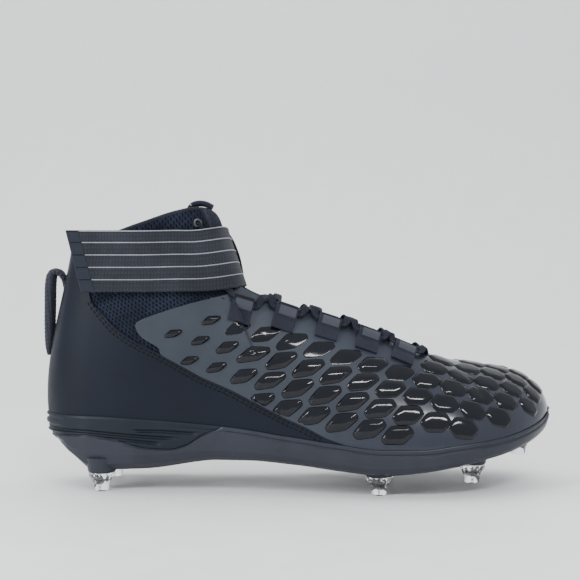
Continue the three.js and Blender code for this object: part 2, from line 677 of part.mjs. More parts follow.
function loopFrame(i, side) {
  const { x, z, slope } = loopTable[i];
  const [u, t] = spotOn(side, x * lastLength, z * instepHeight);
  const { at, out } = surfaceFrame(u, side, t);
  const along = new THREE.Vector3(1, -(out.x + out.z * slope) / out.y, slope).normalize();
  const down = along.clone().cross(out).multiplyScalar(-side).normalize();
  return { at, out, along, down };
}

function laceLoop(i, side) {
  const { at, out, along, down } = loopFrame(i, side);
  const low = overlayTop + fitGap;
  const high = low + 2 * webbingWall + laceRoom;
  const tunnel = laceWidth + 2 * fitGap;
  const [near, far] = [tunnelMiddle.down - tunnel / 2, tunnelMiddle.down + tunnel / 2];
  const shape = new THREE.Shape(
    [
      [near - webbingWall, low], [webbingLength, low], [webbingLength, low + webbingWall * 1.6],
      [far + 4, low + 2 * webbingWall], [far + webbingWall, high], [near, high],
      [near - webbingWall, high - webbingWall],
    ].map(([d, n]) => new THREE.Vector2(d, n)),
  );
  const [floor, roof] = [low + webbingWall, high - webbingWall];
  shape.holes.push(new THREE.Path(
    [[near, floor], [far, floor], [far, roof], [near, roof]].map(([d, n]) => new THREE.Vector2(d, n)),
  ));
  const geometry = new THREE.ExtrudeGeometry(shape, { depth: webbingWidth, bevelEnabled: false, steps: 1 });
  geometry.translate(0, 0, -webbingWidth / 2);
  geometry.applyMatrix4(new THREE.Matrix4().makeBasis(down, out, along).setPosition(at));
  return largest(toSolid(geometry).subtract(offOverlays));
}

// Laces: through the loops, crossing over the tongue, a bar in front, and two ends to the top eyelets.
// The lateral end runs under the strap, at x of lastLength and z of collarHeight; the medial end over it.
const laceStep = (at, up, width = laceWidth, wall = laceWall) => ({ at, up, width, wall });

function besideLoop(i, side, past, climb = 0, lift = 0) {
  const { at, out, along, down } = loopFrame(i, side);
  const place = at
    .addScaledVector(out, tunnelMiddle.out + lift)
    .addScaledVector(down, tunnelMiddle.down - climb)
    .addScaledVector(along, past);
  return laceStep(place, out);
}
const tunnelEnd = webbingWidth / 2 + fitGap;
const leaveLoop = (i, side, way) => [
  besideLoop(i, side, 0),
  besideLoop(i, side, way * tunnelEnd),
  besideLoop(i, side, way * (tunnelEnd + 1.8), 0.6, 0.6),
  besideLoop(i, side, way * (tunnelEnd + 3.8), laceWidth + 0.6, 2.2),
];
const upward = new THREE.Vector3(0.32, 0, 0.95).normalize();

function overTongue(x, y) {
  const lift = fitGap + laceWall / 2 + laceArch - (y * y) / (2 * tongueCrown);
  return laceStep(new THREE.Vector3(x, y, tongueHeight(x) + lift), upward);
}

function overThroat(from, to, ahead) {
  const over = [0.25, 0.5, 0.75].map((share) => {
    const place = from.at(-1).at.clone().lerp(to.at(-1).at, share);
    return overTongue(place.x + ahead, place.y);
  });
  return sweepStrip([...from, ...over, ...to.reverse()]);
}

// A crossing leaves loop i on one side at its front and enters loop i + 1 on the other at its back.
const crossing = (i, side) => overThroat(leaveLoop(i, side, 1), leaveLoop(i + 1, -side, -1), 0);
const lastLoop = loopTable.length - 1;
const frontBar = () => overThroat(leaveLoop(lastLoop, lateral, 1), leaveLoop(lastLoop, medial, 1), 2);

function intoEyelet(side, from) {
  const { at, out } = eyeletFrame(side);
  const back = from.clone().sub(at).projectOnPlane(out).normalize();
  const spot = (along, high) => at.clone().addScaledVector(back, along).addScaledVector(out, high);
  const thin = laceWall * 0.8;
  const flangeTop = fitGap + eyeletFlange;
  return [
    laceStep(spot(6, laceWall + fitGap), out, laceWidth * 0.8),
    laceStep(spot(eyeletFlangeRadius + 0.6, flangeTop + laceWall), out, laceWidth * 0.6),
    laceStep(spot(0.8, flangeTop + laceWall), out.clone().add(back), eyeletBore * 1.3, thin),
    laceStep(spot(0, flangeTop), back, eyeletBore * 1.2, thin),
    laceStep(spot(0, -upperWall), back, eyeletBore * 1.2, thin),
  ];
}

function lateralEnd() {
  const route = [
    [0.374, 0.785, overlayTop + fitGap], [0.364, 0.83, overlayTop / 2], [0.35, 0.9, 0], [0.338, 0.97, 0],
    [0.328, 1.03, 0],
  ];
  const run = route.map(([x, z, lift]) => {
    const [u, t] = spotOn(lateral, x * lastLength, z * collarHeight);
    const { at, out } = surfaceFrame(u, lateral, t);
    return laceStep(at.addScaledVector(out, fitGap + laceWall / 2 + lift), out);
  });
  return sweepStrip([
    besideLoop(0, lateral, 0), besideLoop(0, lateral, -tunnelEnd - 0.8),
    ...run, ...intoEyelet(lateral, run.at(-1).at),
  ]);
}

function medialEnd() {
  const lift = strapWall / 2 + fitGap + laceWall / 2 + 0.5;
  const route = [[0.8, 0.02], [0.7, 0.2], [0.63, 0.45], [0.67, 0.75], [0.78, 0.98], [0.88, 1.06]];
  const run = route.map(([turn, share]) => {
    const here = strapOverFront(turn, share);
    const level = strapOverFront(turn + 0.02, share).sub(strapOverFront(turn - 0.02, share));
    const out = new THREE.Vector3(0, 0, 1).cross(level).normalize().negate();
    return laceStep(here.addScaledVector(out, lift), out);
  });
  return sweepStrip([
    besideLoop(0, medial, 0), besideLoop(0, medial, -tunnelEnd),
    besideLoop(0, medial, -tunnelEnd - 1.6, 0.3, 0.3), ...run, ...intoEyelet(medial, run.at(-1).at),
  ]);
}

const crossings = loopTable.slice(1).flatMap((_, i) => [crossing(i, lateral), crossing(i, medial)]);
const offTongue = thicken(tongueSheet, -tongueWall - fitGap, fitGap);
const overThroatLaces = together([...crossings, frontBar()]).subtract(offOverlays).subtract(offTongue);
const laces = largest(together([overThroatLaces, lateralEnd(), medialEnd()]));

const tongueLoopPath = [
  [0.332, 1.423], [0.318, 1.44], [0.303, 1.443], [0.291, 1.431], [0.287, 1.403], [0.3, 1.373], [0.326, 1.3625],
];
const tongueLoop = sweepStrip(
  tongueLoopPath.map((row) => ({
    at: inMiddle(row, instepHeight), up: new THREE.Vector3(1, 0, 1), width: tabWidth, wall: tabWall,
  })),
);

const finish = {
  upper: { color: 0x16181d, roughness: 0.9, metalness: 0 },
  counter: { color: 0x1b1e23, roughness: 0.55, metalness: 0 },
  skin: { color: 0x33373d, roughness: 0.5, metalness: 0 },
  midsole: { color: 0x1e2024, roughness: 0.6, metalness: 0 },
  plate: { color: 0x23262b, roughness: 0.5, metalness: 0 },
  clear: { color: 0xd9dde0, roughness: 0.1, metalness: 0 },
  lining: { color: 0x101215, roughness: 0.95, metalness: 0 },
  strap: { color: 0x2c2f34, roughness: 0.8, metalness: 0 },
  webbing: { color: 0x24272c, roughness: 0.85, metalness: 0 },
  metal: { color: 0x3a3d42, roughness: 0.3, metalness: 0.8 },
};

const cleat = new THREE.Group();
function addPiece(name, solid, look) {
  const mesh = new THREE.Mesh(toGeometry(solid), new THREE.MeshStandardMaterial(finish[look]));
  mesh.name = name;
  cleat.add(mesh);
}
addPiece("upper", upper, "upper");
addPiece("heel_counter", heelCounter, "counter");
addPiece("forefoot_skin", forefootSkin, "skin");
addPiece("tongue", tongue, "upper");
addPiece("insole", insole, "lining");
addPiece("midsole", midsole, "midsole");
addPiece("outsole", outsole, "plate");
for (const [name, place] of Object.entries(studTable)) addPiece(`stud_${name}`, stud(place), "clear");
addPiece("ankle_strap", ankleStrap, "strap");
addPiece("heel_loop", heelLoop, "webbing");
addPiece("tongue_loop", tongueLoop, "webbing");
loopTable.forEach((_, i) => {
  addPiece(`lace_loop_lateral_${i + 1}`, laceLoop(i, lateral), "webbing");
  addPiece(`lace_loop_medial_${i + 1}`, laceLoop(i, medial), "webbing");
});
addPiece("laces", laces, "webbing");
addPiece("top_eyelet_lateral", topEyelet(lateral), "metal");
addPiece("top_eyelet_medial", topEyelet(medial), "metal");

const bounds = new THREE.Box3().setFromObject(cleat);
const centre = bounds.getCenter(new THREE.Vector3());
cleat.position.set(-centre.x, -centre.y, -bounds.min.z);

export default cleat;
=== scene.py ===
# A right-foot football cleat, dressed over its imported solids. Sizes are the shoe's own, in
# millimetres: x from the heel, y towards the inner (medial) side, z from the floor.
import math

import bpy
import numpy as np
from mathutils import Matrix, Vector


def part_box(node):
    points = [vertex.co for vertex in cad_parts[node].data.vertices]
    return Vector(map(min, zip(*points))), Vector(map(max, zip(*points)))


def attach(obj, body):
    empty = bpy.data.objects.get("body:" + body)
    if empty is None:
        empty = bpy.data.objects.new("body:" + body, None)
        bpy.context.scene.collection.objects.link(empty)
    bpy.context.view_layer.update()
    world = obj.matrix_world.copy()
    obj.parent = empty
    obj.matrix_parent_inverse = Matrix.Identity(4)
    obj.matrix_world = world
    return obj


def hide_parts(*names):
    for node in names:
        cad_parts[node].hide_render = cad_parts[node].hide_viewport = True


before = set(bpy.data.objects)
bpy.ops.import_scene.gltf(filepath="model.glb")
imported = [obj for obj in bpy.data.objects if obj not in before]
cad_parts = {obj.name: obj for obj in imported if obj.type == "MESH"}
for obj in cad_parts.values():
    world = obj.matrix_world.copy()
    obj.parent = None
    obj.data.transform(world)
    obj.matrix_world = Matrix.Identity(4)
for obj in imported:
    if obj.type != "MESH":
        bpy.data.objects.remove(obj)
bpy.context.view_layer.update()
bpy.ops.object.select_all(action="DESELECT")
print("frame loaded")

last = {
    "length": 310, "heelInset": 2.5, "ballWidth": 103, "heelRim": 45.6, "instep": 121, "toe": 70.5,
    "collar": 147, "wall": 2.2, "overlay": 1.0, "gap": 0.3, "seatDepth": 4, "rimProud": 2.6,
    "tuck": 12, "throatRoundFrom": 0.7, "throatEnd": 0.77,
}
outside = last["gap"] + last["overlay"]  # the outer face of the film panels, above the knit
lateral, medial = -1, 1
sideName = {lateral: "lateral", medial: "medial"}

# A rib of the upper in each row, from heel to toe: shares of the sizes above
ribColumns = "at lateral medial rim under topX topY ridgeY topZ bulge rise ease drop".split()
ribRows = {
    "collar": [
        [0.0, 0.0, 0.0, 1.0, 0.68, 0.053, 0.0, 0, 1.0, 0.045, 0.335, 0.058, 0.335],
        [0.1, 0.175, 0.175, 1.0, 0.6, 0.065, 0.165, 0, 1.007, 0.038, 0.33, 0.05, 0.36],
        [0.15, 0.245, 0.245, 1.0, 0.42, 0.086, 0.235, 0, 1.014, 0.033, 0.325, 0.025, 0.365],
        [0.2, 0.295, 0.295, 1.0, 0.26, 0.117, 0.287, 0, 1.025, 0.03, 0.32, 0.0, 0.37],
        [0.3, 0.34, 0.335, 0.965, 0.29, 0.2, 0.35, 0, 1.08, 0.029, 0.26, -0.02, 0.385],
        [0.4, 0.355, 0.32, 0.888, 0.41, 0.278, 0.32, 0, 1.135, 0.029, 0.235, -0.01, 0.35],
        [0.44, 0.375, 0.32, 0.84, 0.41, 0.314, 0.265, 0, 1.15, 0.029, 0.22, 0.02, 0.3],
    ],
    "instep": [
        [0.47, 0.395, 0.325, 0.79, 0.39, 0.345, 0.23, 0, 1.24, 0.029, 0.24, 0.05, 0.22],
        [0.485, 0.405, 0.33, 0.767, 0.375, 0.371, 0.223, 0, 1.06, 0.029, 0.26, 0.055, 0.2],
        [0.5, 0.415, 0.335, 0.745, 0.36, 0.41, 0.21, 0, 0.985, 0.029, 0.28, 0.06, 0.18],
        [0.55, 0.46, 0.38, 0.675, 0.3, 0.472, 0.17, 0.004, 0.922, 0.029, 0.29, 0.13, 0.13],
        [0.6, 0.495, 0.44, 0.62, 0.26, 0.555, 0.14, 0.01, 0.86, 0.029, 0.28, 0.17, 0.12],
        [0.65, 0.505, 0.475, 0.625, 0.3, 0.64, 0.126, 0.015, 0.79, 0.029, 0.27, 0.175, 0.12],
        [0.7, 0.495, 0.49, 0.68, 0.37, 0.718, 0.107, 0.02, 0.705, 0.027, 0.29, 0.185, 0.11],
    ],
    "toe": [
        [0.77, 0.42, 0.465, 0.75, 0.48, 0.797, 0.098, 0.024, 1.09, 0.024, 0.32, 0.145, 0.0],
        [0.8, 0.37, 0.445, 0.79, 0.53, 0.83, 0.09, 0.027, 1.064, 0.024, 0.35, 0.155, 0.0],
        [0.9, 0.145, 0.32, 0.93, 0.7, 0.89, 0.045, 0.05, 1.021, 0.02, 0.42, 0.165, 0.0],
        [1.0, -0.09, 0.09, 1.04, 0.86, 0.92, 0.0, 0.09, 1.0, 0.02, 0.5, 0.155, 0.0],
    ],
}

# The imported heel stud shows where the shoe's own origin lies in the frame
heelStud = {"node": "stud_heel_lateral", "x": 0.123, "y": -0.233}
studLow, studHigh = (np.array(corner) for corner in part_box(heelStud["node"]))
studSpot = np.array([heelStud["x"] * last["length"], heelStud["y"] * last["ballWidth"], 0])
shoeOrigin = np.array([*((studLow + studHigh) / 2)[:2], studLow[2]]) - studSpot / 1000


def inFrame(points):
    return np.asarray(points, float) / 1000 + shoeOrigin


def smoothColumn(places, values):
    # Smooth curve through a table's column, with no overshoot
    places, values = np.array(places, float), np.array(values, float)
    slopes = np.diff(values) / np.diff(places)
    tangents = np.concatenate([slopes[:1], np.zeros(len(values) - 2), slopes[-1:]])
    before, after = slopes[:-1], slopes[1:]
    same = before * after > 0
    tangents[1:-1][same] = 2 * (before * after)[same] / (before + after)[same]

    def curve(place):
        at = np.clip(place, places[0], places[-1])
        i = np.clip(np.searchsorted(places, at, side="right") - 1, 0, len(places) - 2)
        span = places[i + 1] - places[i]
        s = (at - places[i]) / span
        bend = s * s * (3 - 2 * s)
        start = s * (1 - s) ** 2 * span * tangents[i]
        end = s * s * (s - 1) * span * tangents[i + 1]
        return values[i] * (1 - bend) + values[i + 1] * bend + start + end

    return curve


heights = {"collar": last["collar"], "instep": last["instep"], "toe": last["toe"]}
ribs = [
    dict(zip(ribColumns, row), topZ=row[8] * heights[group])
    for group, rows in ribRows.items()
    for row in rows
]
ribPlaces = [rib["at"] for rib in ribs]
rib = {name: smoothColumn(ribPlaces, [r[name] for r in ribs]) for name in ribColumns}


def footX(u):
    return last["heelInset"] + last["length"] * (1 - np.cos(np.pi * u)) / 2


rimAt = smoothColumn(footX(np.array(ribPlaces)), [r["rim"] * last["heelRim"] for r in ribs])
underAt = smoothColumn(footX(np.array(ribPlaces)), [r["under"] * last["heelRim"] for r in ribs])


def outlineAt(u, side):
    half = np.where(side == lateral, rib["lateral"](u), rib["medial"](u))
    return np.stack([footX(u), side * half * last["ballWidth"]], -1)


def outlineNormal(u, side):
    step = 1e-3
    along = outlineAt(np.minimum(1, u + step), side) - outlineAt(np.maximum(0, u - step), side)
    out = np.stack([-side * along[..., 1], side * along[..., 0]], -1)
    out /= np.linalg.norm(out, axis=-1, keepdims=True)
    atEnd = (u <= 0) | (u >= 1)
    straight = np.stack([np.where(u >= 1, 1.0, -1.0), np.zeros_like(out[..., 1])], -1)
    return np.where(atEnd[..., None], straight, out)


def throatShare(u):
    beyond = (u - last["throatRoundFrom"]) / (last["throatEnd"] - last["throatRoundFrom"])
    return np.sqrt(1 - np.clip(beyond, 0, 1) ** 2)


def topLine(u, side, share):
    middle = rib["ridgeY"](u) * last["ballWidth"]
    half = rib["topY"](u) * last["ballWidth"] * share
    return np.stack([rib["topX"](u) * last["length"], middle + side * half, rib["topZ"](u)], -1)


def unit(vectors):
    return vectors / np.linalg.norm(vectors, axis=-1, keepdims=True)


def upperPoint(u, side, t):
    # A point on the outside of the knit: u from heel to toe, t from the sole up to the top line
    u, side, t = np.broadcast_arrays(np.asarray(u, float), side, np.asarray(t, float))
    foot, out = outlineAt(u, side), outlineNormal(u, side)
    base = np.stack([*np.moveaxis(foot, -1, 0), rimAt(foot[..., 0]) - last["seatDepth"] + last["gap"]], -1)
    top = topLine(u, side, throatShare(u))
    high = top[..., 2] - base[..., 2]
    bulge, ease = rib["bulge"](u) * last["ballWidth"], rib["ease"](u) * last["ballWidth"]
    step = 1e-3
    ahead = topLine(np.minimum(1, u + step), side, 1)
    behind = topLine(u - step, side, 1)
    slope = (ahead[..., 2] - behind[..., 2]) / (ahead[..., 0] - behind[..., 0]) * (1 - throatShare(u))
    swell = np.stack([out[..., 0] * bulge, out[..., 1] * bulge, rib["rise"](u) * high], -1)
    drop = rib["drop"](u) * high
    settle = np.stack([out[..., 0] * ease, out[..., 1] * ease, out[..., 0] * ease * slope - drop], -1)
    lower, upper = base + swell, topLine(u, side, 1) + settle
    t = t[..., None]
    return (1 - t) ** 3 * base + 3 * t * (1 - t) ** 2 * lower + 3 * t * t * (1 - t) * upper + t**3 * top


def surfaceFrame(u, side, t):
    # The point, its outward normal, and the directions of growing u and t
    u, side, t = np.broadcast_arrays(np.asarray(u, float), side, np.asarray(t, float))
    step = 2e-3
    ahead, behind = np.minimum(1, u + step), np.maximum(0, u - step)
    alongU = (upperPoint(ahead, side, t) - upperPoint(behind, side, t)) / (ahead - behind)[..., None]
    alongT = (upperPoint(u, side, t + step) - upperPoint(u, side, t - step)) / (2 * step)
    out = np.cross(alongU, alongT) * -side[..., None]
    out /= np.linalg.norm(out, axis=-1, keepdims=True)
    return upperPoint(u, side, t), out, alongU, alongT


tableU, tableT = np.meshgrid(np.linspace(0.03, 0.97, 90), np.linspace(0.02, 0.98, 40), indexing="ij")
spotTables = {
    side: upperPoint(tableU, side, tableT)[..., [0, 2]].reshape(-1, 2)
    for side in (lateral, medial)
}


def spotOn(side, x, z):
    # u and t where the side passes a spot given in side view
    x, z = np.broadcast_arrays(np.asarray(x, float), np.asarray(z, float))
    table = spotTables[side]
    far = (x.reshape(-1, 1) - table[:, 0]) ** 2 + (z.reshape(-1, 1) - table[:, 1]) ** 2
    near = far.argmin(axis=1)
    u, t = tableU.ravel()[near].reshape(x.shape), tableT.ravel()[near].reshape(x.shape)
    for _ in range(12):
        at, _, alongU, alongT = surfaceFrame(u, side, t)
        missX, missZ = x - at[..., 0], z - at[..., 2]
        spread = alongU[..., 0] * alongT[..., 2] - alongT[..., 0] * alongU[..., 2]
        spread = np.where(np.abs(spread) < 40, np.copysign(40, spread), spread)
        stepU = (missX * alongT[..., 2] - missZ * alongT[..., 0]) / spread
        stepT = (missZ * alongU[..., 0] - missX * alongU[..., 2]) / spread
        u = np.clip(u + np.clip(stepU, -0.03, 0.03), 0.001, 0.999)
        t = np.clip(t + np.clip(stepT, -0.06, 0.06), -0.02, 1.03)
    return u, t


def overRidge(u, side, t):
    # The skin's frame, where t runs on past the toe's ridge and down the other side
    past = t > 1
    at, out, alongU, alongT = surfaceFrame(u, np.where(past, -side, side), np.where(past, 2 - t, t))
    return at, out, alongU, np.where(past[..., None], -alongT, alongT)


def dotted(a, b):
    return (a * b).sum(axis=-1)


def rounded(v, power):
    # A power that keeps the sign. Under 1 it makes a circle squarer
    return np.sign(v) * np.abs(v) ** power


def flatAxes(out, side):
    # Forward and up in the skin's plane
    level = np.where(np.abs(out[..., :1]) < 0.9, [1.0, 0, 0], [0, 1.0, 0])
    forward = unit(level - out * dotted(out, level)[..., None])
    return forward, unit(np.cross(out, forward)) * -side[..., None]


def onward(u, side, t, forward, up, aheadBy, upBy):
    # The step in u and t that moves a spot by two lengths in millimetres
    _, _, alongU, alongT = overRidge(u, side, t)
    a, b, c, d = dotted(alongU, forward), dotted(alongT, forward), dotted(alongU, up), dotted(alongT, up)
    spread = a * d - b * c
    spread = np.where(np.abs(spread) < 500, np.copysign(500, spread), spread)
    stepU = (aheadBy * d - upBy * b) / spread
    stepT = (upBy * a - aheadBy * c) / spread
    return np.clip(u + np.clip(stepU, -0.05, 0.05), 0.005, 0.996), t + np.clip(stepT, -0.15, 0.15)


def besideSpots(u, side, t, centre, forward, up, ahead, above):
    # Where the skin passes spots that lie ahead of a centre and above it, by lengths in its own plane
    for _ in range(7):
        off = overRidge(u, side, t)[0] - centre
        u, t = onward(u, side, t, forward, up, ahead - dotted(off, forward), above - dotted(off, up))
    points, outs, _, _ = overRidge(u, side, t)
    return points, outs


def runAlong(points):
    # How far along a path each of its points lies
    return np.concatenate([[0], np.cumsum(np.linalg.norm(np.diff(points, axis=0), axis=1))])


def throughPoints(points, count):
    # A smooth curve through given points, evenly spaced
    points = np.asarray(points, float)
    ends = np.vstack([2 * points[0] - points[1], points, 2 * points[-1] - points[-2]])
    fine = []
    for i in range(1, len(ends) - 2):
        a, b, c, d = ends[i - 1], ends[i], ends[i + 1], ends[i + 2]
        s = np.linspace(0, 1, 24, endpoint=False)[:, None]
        square, cube = 2 * a - 5 * b + 4 * c - d, 3 * b - a - 3 * c + d
        fine.append(0.5 * (2 * b + (c - a) * s + square * s**2 + cube * s**3))
    fine = np.vstack([*fine, points[-1:]])
    run = runAlong(fine)
    even = np.linspace(0, run[-1], count)
    return np.stack([np.interp(even, run, fine[:, k]) for k in range(fine.shape[1])], -1)


# Modelling helpers


def selectOnly(piece):
    bpy.ops.object.select_all(action="DESELECT")
    piece.select_set(True)
    bpy.context.view_layer.objects.active = piece


def mergeDoubles():
    bpy.ops.mesh.remove_doubles(threshold=2e-6)


def turnOutwards():
    bpy.ops.mesh.normals_make_consistent(inside=False)


def editAll(piece, *actions):
    # Runs operators in edit mode, on all of a piece
    selectOnly(piece)
    bpy.ops.object.mode_set(mode="EDIT")
    bpy.ops.mesh.select_all(action="SELECT")
    for action in actions:
        action()
    bpy.ops.object.mode_set(mode="OBJECT")


def fillEnds():
    # Closes the open ends of a piece, in edit mode, and selects it all again
    bpy.ops.mesh.select_all(action="DESELECT")
    bpy.ops.mesh.select_non_manifold()
    bpy.ops.mesh.fill_holes(sides=0)
    bpy.ops.mesh.select_all(action="SELECT")


def modify(piece, kind, **settings):
    selectOnly(piece)
    modifier = piece.modifiers.new(kind.title(), kind)
    for name, value in settings.items():
        setattr(modifier, name, value)
    bpy.ops.object.modifier_apply(modifier=modifier.name)


def smoothed(piece, angle=40):
    selectOnly(piece)
    bpy.ops.object.shade_smooth_by_angle(angle=math.radians(angle))
    return piece


def measured(points, axis):
    # Mean length along one way of a grid of points, for its UV map in millimetres
    steps = np.linalg.norm(np.diff(points, axis=axis), axis=-1).mean(axis=1 - axis)
    return np.concatenate([[0], np.cumsum(steps)])


def shapedGrid(name, points, ring=False, caps=False):
    # A grid whose rows and columns are set on given points. ring closes each row on itself
    points = np.asarray(points, float)
    if ring:
        points = np.concatenate([points, points[:, :1]], axis=1)
    rows, columns = points.shape[:2]
    bpy.ops.mesh.primitive_grid_add(x_subdivisions=columns - 1, y_subdivisions=rows - 1, size=1)
    piece = bpy.context.object
    piece.name = piece.data.name = name
    mesh = piece.data
    mesh.vertices.foreach_set("co", inFrame(points).astype(np.float32).ravel())
    across, up = np.meshgrid(measured(points, 1), measured(points, 0))
    spread = np.stack([across, up], -1).reshape(-1, 2)
    corners = np.zeros(len(mesh.loops), np.int32)
    mesh.loops.foreach_get("vertex_index", corners)
    mesh.uv_layers.active.data.foreach_set("uv", spread[corners].astype(np.float32).ravel())
    mesh.update()
    editAll(piece, mergeDoubles, *([fillEnds, turnOutwards] if caps else []))
    return piece


def facing(piece, outward):
    # Turns a sheet over if its faces don't look the way they should, given at its middle face
    face = piece.data.polygons[len(piece.data.polygons) // 2]
    if face.normal.dot(Vector(outward(face.center))) < 0:
        editAll(piece, bpy.ops.mesh.flip_normals)
    return piece


def walled(piece, wall, edge=0.0, offset=-1, steps=2):
    # Gives a sheet its thickness, in millimetres, and rounds its edges
    modify(piece, "SOLIDIFY", thickness=wall / 1000, offset=offset)
    if edge:
        limit = {"limit_method": "ANGLE", "angle_limit": math.radians(50)}
        modify(piece, "BEVEL", width=edge / 1000, segments=steps, **limit)
    return smoothed(piece)


def joined(name, pieces):
    bpy.ops.object.select_all(action="DESELECT")
    for piece in pieces:
        piece.select_set(True)
    bpy.context.view_layer.objects.active = pieces[0]
    bpy.ops.object.join()
    whole = bpy.context.object
    whole.name = whole.data.name = name
    return whole


def ringStack(name, sides, rings):
    # Rings of [radius, height] over each other, each drawn out of the last, closed at the end
    (radius, height), *others = rings
    bpy.ops.mesh.primitive_circle_add(vertices=sides, radius=radius / 1000, location=(0, 0, height / 1000))
    piece = bpy.context.object
    piece.name = piece.data.name = name
    bpy.ops.object.transform_apply(location=True)
    bpy.ops.object.mode_set(mode="EDIT")
    for newRadius, newHeight in others:
        climb = (0, 0, (newHeight - height) / 1000)
        bpy.ops.mesh.extrude_region_move(TRANSFORM_OT_translate={"value": climb})
        share = max(newRadius, 1e-3) / radius
        middle = (0, 0, newHeight / 1000)
        bpy.ops.transform.resize(value=(share, share, 1), center_override=middle)
        radius, height = max(newRadius, 1e-3), newHeight
    bpy.ops.object.mode_set(mode="OBJECT")
    editAll(piece, mergeDoubles, turnOutwards)
    return piece


def copyOf(piece, name):
    twin = piece.copy()
    twin.data = piece.data.copy()
    twin.name = twin.data.name = name
    bpy.context.collection.objects.link(twin)
    return twin


def corners(piece):
    flat = np.zeros(len(piece.data.vertices) * 3, np.float32)
    piece.data.vertices.foreach_get("co", flat)
    return flat.reshape(-1, 3).astype(float)


def setCorners(piece, points):
    piece.data.vertices.foreach_set("co", np.asarray(points, np.float32).ravel())
    piece.data.update()


def sweptBand(name, path, ups, width, wall, softness=0.42, count=90, sides=10):
    # A flat band along a path, with rounded edges. width and wall may change along the path
    path = np.asarray(path, float)
    sizes = [np.broadcast_to(size, len(path)) for size in (width, wall)]
    rows = throughPoints(np.column_stack([path, np.asarray(ups, float), *sizes]), count)
    at, up, widths, walls = rows[:, :3], unit(rows[:, 3:6]), rows[:, 6], rows[:, 7]
    along = unit(np.gradient(at, axis=0))
    across = unit(np.cross(along, up))
    face = unit(np.cross(across, along))
    turn = 2 * np.pi * (np.arange(sides * 2) + 0.5) / (sides * 2)
    sideways = rounded(np.cos(turn), softness) / 2
    upward = rounded(np.sin(turn), softness) / 2
    points = (
        at[:, None]
        + across[:, None] * (sideways * widths[:, None])[..., None]
        + face[:, None] * (upward * walls[:, None])[..., None]
    )
    return smoothed(shapedGrid(name, points, ring=True, caps=True), 60)


# Materials


def feed(tree, socket, value):
    # Links another node's output to a socket, or sets the socket's own value
    if isinstance(value, bpy.types.NodeSocket):
        tree.links.new(value, socket)
    else:
        socket.default_value = value


def nodeIn(tree, kind, inputs=None, **settings):
    # Adds a node, sets its options, and links or sets its inputs by name
    node = tree.nodes.new("ShaderNode" + kind)
    for name, value in settings.items():
        setattr(node, name, value)
    for name, value in (inputs or {}).items():
        feed(tree, node.inputs[name], value)
    return node


def calc(tree, operation, first, second=0.0, third=0.0):
    node = nodeIn(tree, "Math", operation=operation)
    for socket, value in zip(node.inputs, (first, second, third)):
        feed(tree, socket, value)
    return node.outputs[0]


def ranged(tree, value, low, high, toLow=0.0, toHigh=1.0, smooth=True):
    inputs = {"Value": value, "From Min": low, "From Max": high, "To Min": toLow, "To Max": toHigh}
    kind = "SMOOTHSTEP" if smooth else "LINEAR"
    return nodeIn(tree, "MapRange", inputs, interpolation_type=kind).outputs["Result"]


def mixed(tree, share, first, second):
    node = nodeIn(tree, "Mix", data_type="RGBA")
    for place, value in ((0, share), (6, first), (7, second)):  # the sockets of a mix of colours
        feed(tree, node.inputs[place], (*value, 1) if isinstance(value, tuple) else value)
    return node.outputs[2]


def newGroup(name, inputs, outputs):
    group = bpy.data.node_groups.new(name, "ShaderNodeTree")
    for label, kind, value in inputs:
        socket = group.interface.new_socket(label, in_out="INPUT", socket_type="NodeSocket" + kind)
        if value is not None:
            socket.default_value = value
    for label, kind in outputs:
        group.interface.new_socket(label, in_out="OUTPUT", socket_type="NodeSocket" + kind)
    return group, group.nodes.new("NodeGroupInput").outputs, group.nodes.new("NodeGroupOutput").inputs


def makeWeave():
    # Crossed threads on a UV map in millimetres: over, under, and the gaps between them
    group, given, wanted = newGroup(
        "wovenThreads",
        [("Place", "Vector", None), ("Warp", "Float", 1.0), ("Weft", "Float", 1.0), ("Slant", "Float", 0.0)],
        [("Height", "Float"), ("Gap", "Float")],
    )
    split = nodeIn(group, "SeparateXYZ", {0: given["Place"]})
    slanted = calc(group, "MULTIPLY_ADD", split.outputs["Y"], given["Slant"], split.outputs["X"])
    across = calc(group, "MULTIPLY", calc(group, "DIVIDE", slanted, given["Warp"]), math.pi)
    up = calc(group, "MULTIPLY", calc(group, "DIVIDE", split.outputs["Y"], given["Weft"]), math.pi)
    warp, weft = calc(group, "SINE", across), calc(group, "SINE", up)
    over = calc(group, "MULTIPLY", warp, weft)
    ridges = calc(group, "MAXIMUM", calc(group, "ABSOLUTE", warp), calc(group, "ABSOLUTE", weft))
    height = calc(group, "MULTIPLY_ADD", over, 0.35, calc(group, "MULTIPLY", ridges, 0.65))
    group.links.new(height, wanted["Height"])
    group.links.new(calc(group, "SUBTRACT", 1.0, ridges), wanted["Gap"])
    return group


def makeGrain():
    # Fine uneven skin on Object coordinates, with a slow change of tone
    group, given, wanted = newGroup(
        "fineGrain",
        [("Place", "Vector", None), ("Size", "Float", 900.0)],
        [("Height", "Float"), ("Tone", "Float")],
    )
    fine = nodeIn(group, "TexNoise", {"Vector": given["Place"], "Scale": given["Size"], "Detail": 3.0})
    slowLook = {"Vector": given["Place"], "Scale": 38.0, "Detail": 4.0, "Roughness": 0.6}
    slow = nodeIn(group, "TexNoise", slowLook)
    group.links.new(fine.outputs["Fac"], wanted["Height"])
    group.links.new(ranged(group, slow.outputs["Fac"], 0.3, 0.7), wanted["Tone"])
    return group


groups = {"weave": makeWeave(), "grain": makeGrain()}


def newMaterial(name, **values):
    material = bpy.data.materials.new(name)
    material.use_nodes = True
    tree = material.node_tree
    shader = tree.nodes["Principled BSDF"]
    for socket, value in values.items():
        shader.inputs[socket.replace("_", " ")].default_value = value
    return material, tree, shader


def placeIn(tree, output="Object"):
    return nodeIn(tree, "TexCoord").outputs[output]


